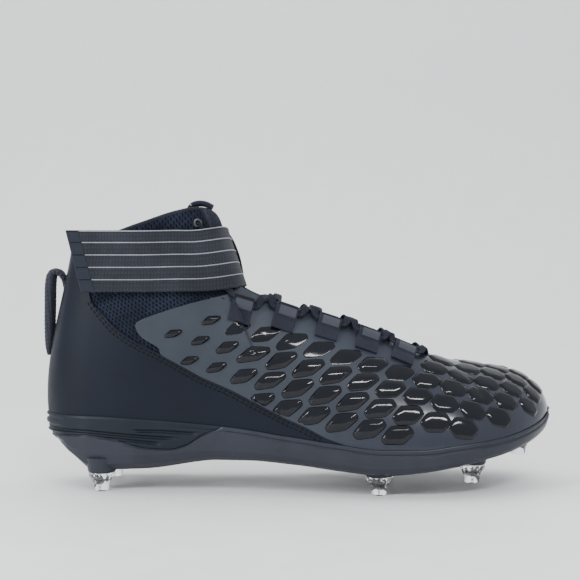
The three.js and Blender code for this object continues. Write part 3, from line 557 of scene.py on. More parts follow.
def useGroup(tree, name, **inputs):
    node = tree.nodes.new("ShaderNodeGroup")
    node.node_tree = groups[name]
    for label, value in inputs.items():
        feed(tree, node.inputs[label], value)
    return node.outputs


def bumped(tree, shader, height, strength, depth):
    # depth in millimetres
    inputs = {"Height": height, "Strength": strength, "Distance": depth / 1000}
    tree.links.new(nodeIn(tree, "Bump", inputs).outputs[0], shader.inputs["Normal"])


def knitMaterial():
    material, tree, shader = newMaterial("knit", Roughness=0.9, Specular_IOR_Level=0.12, Sheen_Weight=0.03)
    turned = nodeIn(tree, "Mapping", {"Vector": placeIn(tree, "UV"), "Rotation": (0, 0, 0.6)})
    weave = useGroup(tree, "weave", Place=turned.outputs[0], Warp=2.6, Weft=1.9, Slant=0.5)
    grain = useGroup(tree, "grain", Place=placeIn(tree), Size=700.0)
    # Painted shade: the gaps between the threads are darkened to near black
    gapShade = ranged(tree, weave["Gap"], 0.12, 0.42)
    tone = mixed(tree, grain["Tone"], (0.007, 0.0098, 0.0185), (0.0155, 0.0205, 0.037))
    tree.links.new(mixed(tree, gapShade, tone, (0.0015, 0.0018, 0.003)), shader.inputs["Base Color"])
    height = calc(tree, "MULTIPLY_ADD", grain["Height"], 0.2, weave["Height"])
    bumped(tree, shader, height, 1.0, 0.9)
    return material


def grainedMaterial(name, size, tones, roughness, bump, **values):
    # Fine grain between two tones and two roughnesses. bump gives its strength and depth
    material, tree, shader = newMaterial(name, **values)
    grain = useGroup(tree, "grain", Place=placeIn(tree), Size=size)
    if tones:
        feed(tree, shader.inputs["Base Color"], mixed(tree, grain["Tone"], *tones))
    feed(tree, shader.inputs["Roughness"], ranged(tree, grain["Tone"], 0, 1, *roughness))
    if bump:
        bumped(tree, shader, grain["Height"], *bump)
    return material


def skinMaterial():
    # Matte grey at the ankle, darker and glossier towards the toe
    material, tree, shader = newMaterial("mouldedSkin", Specular_IOR_Level=0.3, Coat_Roughness=0.12)
    place = placeIn(tree)
    grain = useGroup(tree, "grain", Place=place, Size=1500.0)
    along = nodeIn(tree, "SeparateXYZ", {0: place}).outputs["X"]
    toLast = lambda x: float(inFrame([x, 0, 0])[0])
    toe = ranged(tree, along, toLast(150), toLast(285))
    web = mixed(tree, grain["Tone"], (0.022, 0.027, 0.038), (0.027, 0.033, 0.045))
    tree.links.new(mixed(tree, toe, web, (0.0115, 0.0135, 0.025)), shader.inputs["Base Color"])
    tree.links.new(ranged(tree, toe, 0, 1, 0.55, 0.22), shader.inputs["Roughness"])
    tree.links.new(ranged(tree, toe, 0.3, 1, 0.0, 0.5), shader.inputs["Coat Weight"])
    bumped(tree, shader, grain["Height"], 0.3, 0.1)
    return material


def soleMaterial(name, tones, roughness):
    return grainedMaterial(name, 800.0, tones, roughness, (0.2, 0.12), Specular_IOR_Level=0.22)


def clothMaterial(name, dark, light, warp, weft, slant=0.0, depth=0.35, roughness=0.8):
    material, tree, shader = newMaterial(
        name, Roughness=roughness, Specular_IOR_Level=0.2, Sheen_Weight=0.05, Sheen_Roughness=0.45
    )
    weave = useGroup(tree, "weave", Place=placeIn(tree, "UV"), Warp=warp, Weft=weft, Slant=slant)
    grain = useGroup(tree, "grain", Place=placeIn(tree), Size=900.0)
    # Painted shade and highlight: the weave's hollows take the dark tone and its crests the light one, mixed
    # with random grain tone
    weaveShadeAndTone = calc(tree, "MULTIPLY_ADD", grain["Tone"], 0.35, calc(tree, "MULTIPLY", weave["Height"], 0.65))
    tree.links.new(mixed(tree, weaveShadeAndTone, dark, light), shader.inputs["Base Color"])
    bumped(tree, shader, calc(tree, "MULTIPLY_ADD", grain["Height"], 0.25, weave["Height"]), 0.8, depth)
    return material


# A cloth: its dark and its light tone, mixed by random grain and by painted shade in the weave's hollows and
# painted highlight on its crests, then warp, weft, slant, depth and roughness
cloths = {
    "strap": ["strapElastic", (0.006, 0.0068, 0.0094), (0.029, 0.032, 0.043), 0.95, 2.6, 0, 0.35],
    "tab": ["strapTab", (0.0098, 0.0125, 0.0195), (0.015, 0.019, 0.029), 0.35, 1.5, 0, 0.15, 0.65],
    "silver": ["silverLine", (0.15, 0.155, 0.175), (0.34, 0.355, 0.39), 0.6, 0.4, 0.5, 0.15, 0.45],
    "webbing": ["webbing", (0.0048, 0.0057, 0.0105), (0.021, 0.023, 0.037), 0.55, 0.6, 0.5, 0.25],
    "smoothWebbing": ["smoothWebbing", (0.029, 0.032, 0.042), (0.043, 0.047, 0.06), 0.3, 0.3, 0, 0.06, 0.6],
    "lace": ["lace", (0.0045, 0.0055, 0.0108), (0.018, 0.02, 0.033), 0.5, 0.9, 1.0, 0.3],
    "braid": ["braid", (0.009, 0.0105, 0.017), (0.062, 0.064, 0.088), 1.0, 1.1, 1.0, 0.6],
    "thread": ["thread", (0.001, 0.0012, 0.002), (0.003, 0.0036, 0.006), 0.4, 0.4, 1.0, 0.1],
    "lining": ["lining", (0.006, 0.007, 0.009), (0.02, 0.022, 0.026), 0.7, 0.7, 0, 0.3],
}
finish = {
    "knit": knitMaterial(),
    "skin": skinMaterial(),
    "film": grainedMaterial(
        "heelFilm", 1100.0, ((0.0043, 0.0062, 0.012), (0.0054, 0.0078, 0.0148)), (0.44, 0.52), (0.25, 0.12),
        Specular_IOR_Level=0.16,
    ),
    "pod": grainedMaterial(
        "podGloss", 500.0, ((0.002, 0.0024, 0.0045), (0.0035, 0.0042, 0.0075)), (0.06, 0.11), (0.08, 0.1),
        Coat_Weight=0.05, Coat_Roughness=0.03, Specular_IOR_Level=0.3,
    ),
    "foam": soleMaterial("midsoleFoam", ((0.0058, 0.0084, 0.0142), (0.0078, 0.0112, 0.0186)), (0.42, 0.52)),
    "plate": soleMaterial("solePlate", ((0.02, 0.022, 0.031), (0.025, 0.0275, 0.038)), (0.3, 0.4)),
    "clear": grainedMaterial(
        "clearPlastic", 260.0, None, (0.02, 0.09), (0.35, 0.3),
        Base_Color=(0.93, 0.95, 0.96, 1), Transmission_Weight=1.0, IOR=1.49, Coat_Weight=0.3,
    ),
    "paint": grainedMaterial(
        "eyeletPaint", 600.0, ((0.05, 0.053, 0.06), (0.1, 0.105, 0.11)), (0.25, 0.4), None, Metallic=0.6
    ),
    "floor": grainedMaterial(
        "paleFloor", 60.0, ((0.78, 0.78, 0.775), (0.8, 0.8, 0.795)), (0.42, 0.5), None,
        Specular_IOR_Level=0.25,
    ),
}
finish.update({look: clothMaterial(*values) for look, values in cloths.items()})
print("materials made")


def dress(piece, look, slot, *nodes):
    # Gives a finished piece its material and the frame's body, and hides the CAD nodes it stands for
    if not piece.data.materials:
        piece.data.materials.append(finish[look])
    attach(piece, "root")
    if nodes:
        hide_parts(*nodes)
    return piece


# Camera and stage
camera = {"x": 151.5, "away": 640, "height": 120.5, "lens": 63.4}
bpy.ops.object.camera_add(
    location=inFrame([camera["x"], -camera["away"], camera["height"]]), rotation=(math.pi / 2, 0, 0)
)
viewer = bpy.context.object
viewer.data.lens = camera["lens"]
viewer.data.sensor_width = 36
viewer.data.clip_start = 0.01
bpy.context.scene.camera = viewer


def makeStage():
    # A pale floor that sweeps up into a backdrop
    sweep = {"front": -1500, "bend": 500, "radius": 420, "height": 1600, "halfWidth": 2600}
    turn = np.linspace(0, np.pi / 2, 25)
    profile = [[sweep["front"], 0], [-200, 0], [250, 0]]
    bend, radius = sweep["bend"], sweep["radius"]
    profile += [[bend + radius * math.sin(a), radius * (1 - math.cos(a))] for a in turn]
    profile += [[bend + radius, sweep["height"]]]
    across = np.linspace(-sweep["halfWidth"], sweep["halfWidth"], 9)
    points = [[[camera["x"] + x, y, z] for x in across] for y, z in profile]
    stage = smoothed(shapedGrid("floor", points), 60)
    facing(stage, lambda at: (0, -1, 1))
    stage.data.materials.append(finish["floor"])


def addLight(name, at, towards, size, power, tone=(1, 1, 1)):
    bpy.ops.object.light_add(type="AREA", location=inFrame(at))
    light = bpy.context.object
    light.name = name
    light.data.shape = "RECTANGLE"
    light.data.size, light.data.size_y = size[0] / 1000, size[1] / 1000
    light.data.energy = power
    light.data.color = tone
    way = Vector(inFrame(towards)) - Vector(inFrame(at))
    light.rotation_euler = way.to_track_quat("-Z", "Y").to_euler()
    return light


def makeLights():
    middle = [160, 0, 70]
    overhead = addLight("overhead", [150, 560, 1520], [150, 160, 0], (3400, 1700), 41)
    overhead.visible_glossy = False  # glossy faces show only the two small lights
    addLight("window", [-640, -620, 480], middle, (130, 460), 8, (0.96, 0.98, 1))
    addLight("strip", [430, -760, 780], middle, (620, 55), 5.5)
    world = bpy.data.worlds.new("studio")
    bpy.context.scene.world = world
    world.use_nodes = True
    world.node_tree.nodes["Background"].inputs["Color"].default_value = (0.84, 0.88, 0.92, 1)
    world.node_tree.nodes["Background"].inputs["Strength"].default_value = 1.05


makeStage()
makeLights()
print("camera, stage and lights set")


# Upper
upperLook = {"columns": 290, "rows": 64, "piping": 2.6, "pipingTo": 0.472, "bend": [0.46, 0.515]}


def ribSpread(start, end, count):
    # Even steps along the shoe, with many more at the bend of the throat, where the ribs fan out
    bend = upperLook["bend"]
    low, high = np.maximum(start, bend[0]), np.maximum(start, bend[1])
    before, within = count // 4, count // 3
    parts = [(start, low, before), (low, high, within), (high, end, count - before - within + 1)]
    steps = [a[..., None] + (b - a)[..., None] * np.linspace(0, 1, n, endpoint=False) for a, b, n in parts]
    return np.concatenate([*steps, np.broadcast_to(end, start.shape)[..., None]], axis=-1)


def makeUpper():
    throatCloses = [last["throatRoundFrom"], 0.757, last["throatEnd"]]
    u = np.union1d(ribSpread(np.array(0.0), 1.0, upperLook["columns"]), throatCloses)
    t = np.linspace(0, 1, upperLook["rows"])[:, None]
    outer = upperPoint(u, lateral, t)
    inner = upperPoint(u[::-1][1:-1], medial, t)
    upper = shapedGrid("knitUpper", np.concatenate([outer, inner], axis=1), ring=True)
    facing(upper, lambda at: (0, math.copysign(1, at.y), 0))
    walled(upper, last["wall"], 0.5)
    dress(upper, "knit", "knit", "upper")
    dress(collarPiping(), "webbing", "knit")


def collarPiping():
    u = np.linspace(0, upperLook["pipingTo"], 90)
    edges = [upperPoint(u[::-1], side, 1.0) for side in (lateral, medial)]
    path = np.concatenate([edges[0], edges[1][::-1][1:]])
    path[:, 2] += 0.2
    inward = -unit(path - [path[:, 0].mean(), 0, path[:, 2].mean()])
    path += inward * [last["wall"] / 2, last["wall"] / 2, 0]
    ups = np.tile([0.0, 0.0, 1.0], (len(path), 1))
    return sweptBand("collarPiping", path, ups, upperLook["piping"], upperLook["piping"], 1.0, 260, 6)


# Film panels. Seams are in side view: x of the length, z from the sole's rim to the collar
counterSeam = [
    [0.107, 0.9], [0.105, 0.698], [0.135, 0.583], [0.162, 0.503], [0.202, 0.432], [0.244, 0.374],
    [0.285, 0.313], [0.324, 0.258], [0.373, 0.208], [0.424, 0.15], [0.477, 0.095], [0.523, 0.057],
    [0.561, 0.019], [0.6, 0],
]
seamMeetsSkin = 5
rowStep = 0.006  # least distance between two rows of a panel, as a share of the rib
skinEdge = [
    [0.238, 0.413], [0.207, 0.468], [0.195, 0.523], [0.197, 0.556], [0.219, 0.589],
    [0.272, 0.646], [0.324, 0.694], [0.368, 0.727], [0.385, 0.774], [0.42, 0.933],
]


def onSide(rows):
    rows = np.array(rows, float)
    x = rows[:, 0] * last["length"]
    return np.stack([x, rimAt(x) + rows[:, 1] * (last["collar"] - rimAt(x))], -1)


def seamSpots(side, rows, count):
    # A seam in side view, as u and t on one side of the shoe
    curve = throughPoints(onSide(rows), count)
    return np.stack(spotOn(side, curve[:, 0], curve[:, 1]), -1), curve


def lifted(u, side, t, height):
    at, out, _, _ = surfaceFrame(u, side, t)
    return at + out * np.asarray(height, float)[..., None]


def makeCounter():
    sides = []
    for side in (lateral, medial):
        spots, _ = seamSpots(side, counterSeam, 150)
        u, t = spots[:, 0], spots[:, 1]
        top = np.linspace(1.0, t[0], 12, endpoint=False)
        u = np.concatenate([np.full(12, u[0]), u])
        t = np.concatenate([top, t])
        t[-1] = 0.0
        rows = [0]
        for i in range(1, len(t) - 1):
            if t[rows[-1]] - t[i] > rowStep and t[i] > rowStep:
                rows.append(i)
        u, t = u[[*rows, -1]], t[[*rows, -1]]
        q = np.linspace(0, 1, 110)
        sides.append(lifted(u[:, None] * q, side, t[:, None] + 0 * q, np.full((len(u), len(q)), outside)))
    points = np.concatenate([sides[0][:, ::-1], sides[1][:, 1:]], axis=1)
    counter = shapedGrid("heelCounterFilm", points)
    facing(counter, lambda at: (-1 if at.x < inFrame([30, 0, 0])[0] else 0, math.copysign(1, at.y), 0))
    walled(counter, last["overlay"], 0.35)
    return dress(counter, "film", "counter_film", "heel_counter")


def skinRear(side, count):
    rows = counterSeam[seamMeetsSkin:][::-1] + skinEdge
    spots, _ = seamSpots(side, rows, 260)
    u, t = spots[:, 0], np.clip(spots[:, 1], 0, 1)
    t[0] = 0.0
    order = np.maximum.accumulate(t + np.arange(len(t)) * 1e-7)
    order[-1] = max(order[-1], 1.0)
    even = np.linspace(0, 1, count)
    return np.interp(even, order, u), even


def makeSkin():
    sides = []
    for side in (lateral, medial):
        u, t = skinRear(side, 90)
        places = ribSpread(u, 1.0, 244)
        heights = np.broadcast_to(t[:, None], places.shape)
        sides.append(lifted(places, side, heights, np.full(places.shape, outside)))
    points = np.concatenate([sides[0], sides[1][:, ::-1][:, 1:]], axis=1)
    skin = shapedGrid("forefootFilm", points)
    facing(skin, lambda at: (0, math.copysign(1, at.y), 0.4))
    walled(skin, last["overlay"], 0.3)
    return dress(skin, "skin", "moulded_skin", "forefoot_skin")


# Stitches: two rows beside the heel panel's seam
stitchLook = {"pitch": 2.9, "length": 1.05, "thick": 0.55, "rows": [1.6, 3.5], "sink": 0.05}


def stitchForm():
    half, thick = stitchLook["length"] / 2, stitchLook["thick"]
    rings = [[thick * math.cos(a), -half + thick * math.sin(a)] for a in (-1.2, -0.6, 0)]
    rings += [[thick * math.cos(a), half + thick * math.sin(a)] for a in (0, 0.6, 1.2, math.pi / 2)]
    form = ringStack("stitch", 8, rings)
    editAll(form, fillEnds, turnOutwards)
    return form


def makeStitches():
    form = stitchForm()
    shape = corners(form) * 1000
    stitches = []
    for side in (lateral, medial):
        curve = throughPoints(onSide(counterSeam[1:-1]), 400)
        along = unit(np.gradient(curve, axis=0))
        for inset in stitchLook["rows"]:
            row = curve + np.stack([along[:, 1], -along[:, 0]], -1) * inset
            length = np.linalg.norm(np.diff(row, axis=0), axis=1).sum()
            spots = throughPoints(row[::12], max(2, int(length / stitchLook["pitch"])))
            u, t = spotOn(side, spots[:, 0], spots[:, 1])
            at, out, _, _ = surfaceFrame(u, side, t)
            onwards = unit(np.gradient(at, axis=0))
            across = unit(np.cross(out, onwards))
            up = np.cross(onwards, across)
            for k in range(1, len(at) - 1):
                stitch = copyOf(form, "stitch%d" % len(stitches))
                middle = at[k] + out[k] * (outside - stitchLook["sink"])
                turned = shape[:, :1] * across[k] + shape[:, 1:2] * up[k] * 0.7 + shape[:, 2:] * onwards[k]
                setCorners(stitch, inFrame(middle + turned))
                stitches.append(stitch)
    bpy.data.objects.remove(form)
    dress(smoothed(joined("seamStitches", stitches), 60), "thread", "counter_film")
    print("stitches", len(stitches))


# Tongue
# x of the length, z of the instep's height, half width and how far off the middle, of the ball's width
tongueRows = [
    [0.812, 0.588, 0.13, 0.024], [0.775, 0.628, 0.17, 0.022], [0.718, 0.71, 0.2, 0.02],
    [0.64, 0.795, 0.215, 0.015], [0.555, 0.865, 0.225, 0.01], [0.47, 0.927, 0.23, 0.004],
    [0.424, 0.965, 0.235, 0], [0.388, 1.035, 0.235, 0], [0.37, 1.13, 0.235, 0], [0.359, 1.25, 0.22, 0],
    [0.352, 1.33, 0.205, 0], [0.342, 1.385, 0.185, 0], [0.327, 1.415, 0.155, 0], [0.31, 1.425, 0.11, 0],
]
tongueLook = {"wall": 4, "crown": 34, "rows": 130, "columns": 36, "piping": 2.4, "narrower": 0.8}


def tongueMiddle(count):
    rows = np.array(tongueRows)
    scaled = np.column_stack([
        rows[:, 0] * last["length"], rows[:, 1] * last["instep"],
        rows[:, 2] * last["ballWidth"], rows[:, 3] * last["ballWidth"],
    ])
    return throughPoints(scaled, count)


def tonguePoints(share, count, proud=0.0):
    rows = tongueMiddle(count)
    along = unit(np.gradient(rows[:, :2], axis=0))
    out = np.stack([along[:, 1], -along[:, 0]], -1)
    sideways = share * (rows[:, 2:3] - tongueLook["narrower"])
    sink = -sideways**2 / (2 * tongueLook["crown"]) + proud
    x = rows[:, 0:1] + out[:, 0:1] * sink
    z = rows[:, 1:2] + out[:, 1:2] * sink
    return np.stack([x, rows[:, 3:4] + sideways, z], -1)


def makeTongue():
    share = np.linspace(-1, 1, tongueLook["columns"])[None, :]
    tongue = shapedGrid("tonguePad", tonguePoints(share, tongueLook["rows"]))
    facing(tongue, lambda at: (0.3, 0, 1))
    walled(tongue, tongueLook["wall"], 1.2, steps=3)
    dress(tongue, "knit", "knit", "tongue")
    rim = np.concatenate([
        tonguePoints(np.array([[-0.97]]), 130, -1.2)[84:, 0],
        tonguePoints(np.linspace(-0.8, 0.8, 9)[None], 130, -1.2)[-1],
        tonguePoints(np.array([[0.97]]), 130, -1.2)[84:, 0][::-1],
    ])
    ups = np.tile([1.0, 0.0, 0.3], (len(rim), 1))
    piping = sweptBand("tonguePiping", rim, ups, tongueLook["piping"], tongueLook["piping"], 1.0, 200, 5)
    dress(piping, "webbing", "knit")


def makeInsole():
    u = np.linspace(0.015, 0.985, 90)
    inset = last["wall"] + 1.1
    edges = [outlineAt(u, side) - outlineNormal(u, side) * inset for side in (lateral, medial)]
    share = np.linspace(0, 1, 24)[:, None, None]
    flat = edges[0] * (1 - share) + edges[1] * share
    dish = 1.2 * (2 * share[..., 0] - 1) ** 4
    z = rimAt(flat[..., 0]) + last["gap"] - 0.9 + dish
    insole = shapedGrid("insoleBoard", np.concatenate([flat, z[..., None]], -1))
    facing(insole, lambda at: (0, 0, 1))
    walled(insole, 2.8, 0.6)
    dress(insole, "lining", "insole_cloth", "insole")


# Sole. A row holds how far the side stands out, its tuck under, and its height
soleProfile = [
    [0, 1, 0], [0, 0.37, 0.03], [0.1, 0, 0.15], [0.7, 0, 0.32], [0.92, 0, 0.52], [0.97, 0, 0.6], [1, 0, 0.66],
    [1, 0, 0.95], [0.9, 0, 0.985], [0.73, 0, 1.0],
]
waveLine = [
    [-0.06, 0.69], [0.016, 0.72], [0.1, 0.74], [0.163, 0.67], [0.21, 0.59], [0.26, 0.575], [0.293, 0.64],
    [0.326, 0.78], [0.352, 0.845], [0.385, 1.0], [1.1, 1.0],
]
# Grooves along the side, in side view from the lateral side's front: points in millimetres,
# then half width and depth
sideGrooves = {
    "heelTop": [[[-5, 36.6], [30, 36.3], [62, 34], [88, 32.6]], 0.9, 1.3],
    "heelHigh": [[[57, 37.2], [76, 37], [98, 35.6]], 0.85, 1.2],
    "heelLow": [[[34, 33.2], [55, 31.6], [76, 29.6]], 0.85, 1.2],
    "heelShort": [[[51, 29.4], [60, 28.0], [67, 26.6]], 0.7, 0.9],
}
heelRings = [[42.9, 1.2], [38.3, 1.3], [33.6, 1.2], [29.6, 1.0]]  # height and depth behind the heel


def waveHeight(x):
    table = np.array(waveLine)
    share = smoothColumn(table[:, 0] * last["length"], table[:, 1])(x)
    cut = share * last["heelRim"]
    return np.clip((cut - underAt(x)) / (rimAt(x) - underAt(x)), 0.02, 0.985)


def nearLine(x, z, line):
    # Distance to a line in side view, and how far along it the nearest spot is
    line = np.array(line, float)
    best, place = np.full(x.shape, 1e9), np.zeros(x.shape)
    run = 0
    for a, b in zip(line[:-1], line[1:]):
        span = b - a
        long = np.linalg.norm(span)
        s = np.clip(((x - a[0]) * span[0] + (z - a[1]) * span[1]) / long**2, 0, 1)
        away = np.hypot(x - a[0] - s * span[0], z - a[1] - s * span[1])
        place = np.where(away < best, run + s * long, place)
        best = np.minimum(best, away)
        run += long
    return best, place / run


def grooved(x, y, z, h):
    # Depth of the grooves at spots on the sole's side
    depth = np.zeros(x.shape)
    for line, halfWidth, deep in sideGrooves.values():
        away, place = nearLine(x, z, line)
        ends = np.clip(np.minimum(place + 0.02 if line[0][0] < 0 else place, 1 - place) * 9, 0, 1)
        depth = np.maximum(depth, deep * ends * np.exp(-((away / halfWidth) ** 4)))
    behind = np.clip((16 - x) / 12, 0, 1)
    for high, deep in heelRings:
        depth = np.maximum(depth, deep * behind * np.exp(-(((z - high) / 1.0) ** 4)))
    front = np.clip((x - 70) / 40, 0, 1)
    depth = np.maximum(depth, 0.7 * front * np.exp(-(((z - rimAt(x) + 3.2) / 0.7) ** 4)))
    seam = waveHeight(x) * (rimAt(x) - underAt(x)) + underAt(x)
    parting = np.where(waveHeight(x) < 0.98, 1.0, 0)
    return np.maximum(depth, 0.8 * parting * np.exp(-(((z - seam) / 0.55) ** 4)))


def soleRing(u, side, heights):
    # Points up the sole's side at shares of its height
    foot, out = outlineAt(u, side), outlineNormal(u, side)
    profile = np.array(soleProfile)
    proud = np.interp(heights, profile[:, 2], profile[:, 0]) * last["rimProud"]
    tuck = np.interp(heights, profile[:, 2], profile[:, 1]) * last["tuck"]
    z = underAt(foot[:, 0]) + heights * (rimAt(foot[:, 0]) - underAt(foot[:, 0]))
    spread = proud - tuck
    px = foot[:, 0] + out[:, 0] * spread
    py = foot[:, 1] + out[:, 1] * spread
    depth = grooved(px, py, z, heights)
    return np.stack([px - out[:, 0] * depth, py - out[:, 1] * depth, z], -1)


def soleSide(rowsOf):
    # rowsOf gives the shares of height at each place along the shoe
    u = np.unique(np.concatenate([np.linspace(0, 1, 300), np.linspace(0, 0.2, 50)]))
    outer = soleRing(u, lateral, rowsOf(footX(u)))
    back = u[::-1][1:-1]
    inner = soleRing(back, medial, rowsOf(footX(back)))
    return np.concatenate([outer, inner], axis=1)


def midline(ring):
    # The line half way between the two sides of a ring
    return (ring + ring[np.r_[0, len(ring) - 1:0:-1]]) / 2


def inwardRows(ring, inset, drop, count):
    # Rows that carry an edge inwards and down, to close a lip
    middle = midline(ring)
    rows = []
    for k in range(1, count + 1):
        share = k / count
        step = middle - ring
        long = np.linalg.norm(step[:, :2], axis=1, keepdims=True)
        move = step / np.maximum(long, 1e-6) * np.minimum(inset * share, long * 0.98)
        rows.append(ring + np.column_stack([0 * move[:, 0], move[:, 1], np.full(len(ring), -drop * share)]))
    return np.array(rows)


def makeSole():
    lower = soleSide(lambda x: np.linspace(0, 1, 64)[:, None] * waveHeight(x))
    upper = soleSide(lambda x: waveHeight(x) + np.linspace(0, 1, 56)[:, None] * (1 - waveHeight(x)))
    # The plate's underside closes towards the middle line
    ring, middle = lower[0], midline(lower[0])
    under = []
    for share in np.linspace(1, 0, 16, endpoint=False)[::-1]:
        rib = 0.9 * np.exp(-(((share - 0.25) / 0.06) ** 2)) - 0.7 * np.exp(-(((share - 0.82) / 0.05) ** 2))
        row = middle * (1 - share) + ring * share
        row[:, 2] -= rib
        under.append(row)
    under = np.array([middle, *under[:-1]])
    plate = np.concatenate([under, lower, inwardRows(lower[-1], 5, 0.4, 3)])
    plate = shapedGrid("outsolePlate", plate, ring=True)
    facing(plate, lambda at: (0, 0, -1))
    wedge = np.concatenate([inwardRows(upper[0], 4, 0.0, 2)[::-1], upper, inwardRows(upper[-1], 5.5, 3.0, 4)])
    wedge = shapedGrid("midsoleWedge", wedge, ring=True)
    facing(wedge, lambda at: (0, math.copysign(1, at.y), 0))
    smoothed(wedge, 50)
    dress(wedge, "foam", "midsole_foam", "midsole")
    return plate


# Studs: x and y as shares of length and ball width, and the tip's height as a share of the heel's rim
studTable = {
    "heel_lateral": [0.123, -0.233, 0], "heel_medial": [0.123, 0.233, 0],
    "ball_lateral": [0.658, -0.369, 0], "ball_medial": [0.684, 0.34, 0],
    "front_lateral": [0.84, -0.27, 0.12], "front_medial": [0.865, 0.32, 0.14],
    "toe": [0.957, 0.1, 0.36],
}
studLook = {"height": 11, "base": 7.9, "tip": 4.5, "boss": 9, "draft": 2.6, "flutes": 12, "fluteDepth": 0.06}


def studForm():
    tip, base, high = studLook["tip"], studLook["base"], studLook["height"]
    rings = [[tip - 0.6, 0], [tip - 0.15, 0.15], [tip, 0.6]]
    rings += [[tip + 0.3, high * 0.36], [tip + 0.7, high * 0.42]]
    rings += [[tip + (base - tip) * s, high * (0.42 + 0.4 * s)] for s in (0.4, 0.7, 1.0)]
    rings += [[base, high - 0.5], [base - 0.3, high], [base * 0.55, high], [0, high]]
    form = ringStack("stud", 72, rings)
    points = corners(form) * 1000
    angle = np.arctan2(points[:, 1], points[:, 0])
    # The flutes fade out at the tip and at the base
    climb = np.clip((points[:, 2] - high * 0.4) / (high * 0.12), 0, 1)
    climb *= np.clip((high * 0.93 - points[:, 2]) / 0.8, 0, 1)
    squeeze = 1 - studLook["fluteDepth"] * climb * (0.5 + 0.5 * np.cos(angle * studLook["flutes"]))
    points[:, :2] *= squeeze[:, None]
    setCorners(form, points / 1000)
    editAll(form, fillEnds, turnOutwards)
    return form


def standAt(form, name, x, y, lift, up=0.0):
    piece = copyOf(form, name)
    spot = inFrame([x * last["length"], y * last["ballWidth"], lift * last["heelRim"] + up])
    setCorners(piece, corners(piece) + spot)
    return piece


def makeStuds(plate):
    form = studForm()
    base, boss = studLook["base"] + last["gap"], studLook["boss"]
    mound = ringStack("boss", 48, [
        [base - 0.5, 0], [base, 0.25], [base + studLook["draft"] * 0.35, boss * 0.45],
        [base + studLook["draft"], boss], [0, boss],
    ])
    editAll(mound, fillEnds, turnOutwards)
    bosses = []
    for place, (x, y, lift) in studTable.items():
        stud = smoothed(standAt(form, "clearStud_" + place, x, y, lift), 35)
        dress(stud, "clear", "clear_stud", "stud_" + place)
        bosses.append(standAt(mound, "boss_" + place, x, y, lift, studLook["height"] + last["gap"]))
    outsole = smoothed(joined("outsolePlate", [plate, *bosses]), 45)
    dress(outsole, "plate", "plate", "outsole")
    bpy.data.objects.remove(form)
    bpy.data.objects.remove(mound)


# Ankle strap
strapLook = {
    "width": 36.5, "wall": 1.8, "standOff": 2.3, "sideLow": 0.811, "frontLow": 0.836, "faceLow": 0.4019,
    "faceLean": 0.335, "endLow": 0.092, "endHigh": 0.062, "endY": 0.372, "squareness": 3,
    "sideFrom": 0.42, "sideLift": 0.15,
    "lines": [0.2, 0.4, 0.6, 0.8, 0.985], "lineWidth": 0.62, "tab": 8.5,
}


def ribHeight(u, side, height):
    # The share of a rib at which it reaches a height
    low, high = np.zeros(np.shape(height)), np.ones(np.shape(height))
    for _ in range(26):
        middle = (low + high) / 2
        below = upperPoint(u, side, middle)[..., 2] < height
        low, high = np.where(below, middle, low), np.where(below, high, middle)
    return low


def strapHeight(front, share):
    low = strapLook["sideLow"] * (1 - front) + strapLook["frontLow"] * front
    return low * last["collar"] + share * strapLook["width"]


def strapSide(u, side, share):
    s = np.clip((u - 0.3) / (strapLook["sideFrom"] - 0.3), 0, 1)
    height = strapHeight(s * s * (3 - 2 * s) * strapLook["sideLift"], share)
    at, out, _, _ = surfaceFrame(u, side, ribHeight(u, side, height))
    out[..., 2] = 0
    at = at + unit(out) * (strapLook["standOff"] + strapLook["wall"] / 2)
    at[..., 2] = height
    return at


def strapOverFront(turn, share):
    height = strapHeight(strapLook["sideLift"] + (1 - strapLook["sideLift"]) * np.sin(np.pi * turn), share)
    start = np.full(share.shape, strapLook["sideFrom"])
    near, far = (strapSide(start, side, share) for side in (lateral, medial))
    rise = height - strapLook["frontLow"] * last["collar"]
    front = strapLook["faceLow"] * last["length"] - strapLook["faceLean"] * rise - strapLook["wall"] / 2
    power = 2 / strapLook["squareness"]
    x0 = near[..., 0] * (1 - turn) + far[..., 0] * turn
    x = x0 + (front - x0) * rounded(np.sin(np.pi * turn), power)
    half = (near[..., 1] - far[..., 1]) / 2
    y = (near[..., 1] + far[..., 1]) / 2 + half * rounded(np.cos(np.pi * turn), power)
    return np.stack([x, y, height], -1)


def strapColumns(share):
    # From the free end at the lateral side, round the front, to the sewn end behind
    side = strapSide(np.full(share.shape, 0.28), lateral, share)
    end = (strapLook["endLow"] * (1 - share) + strapLook["endHigh"] * share) * last["length"]
    columns = []
    for reach in (0, 0.35, 0.7):
        x = end * (1 - reach) + side[:, 0] * reach
        y = 0 * x - strapLook["endY"] * last["ballWidth"]
        columns.append(np.stack([x, y, strapHeight(0, share)], -1))
    there = (0.3, 0.34, 0.38, strapLook["sideFrom"])
    back = (strapLook["sideFrom"], 0.38, 0.34, 0.29, 0.24, 0.2, 0.16)
    columns += [strapSide(np.full(share.shape, u), lateral, share) for u in there]
    columns += [strapOverFront(turn, share) for turn in np.arange(1, 10) / 10]
    columns += [strapSide(np.full(share.shape, u), medial, share) for u in back]
    return np.array(columns)


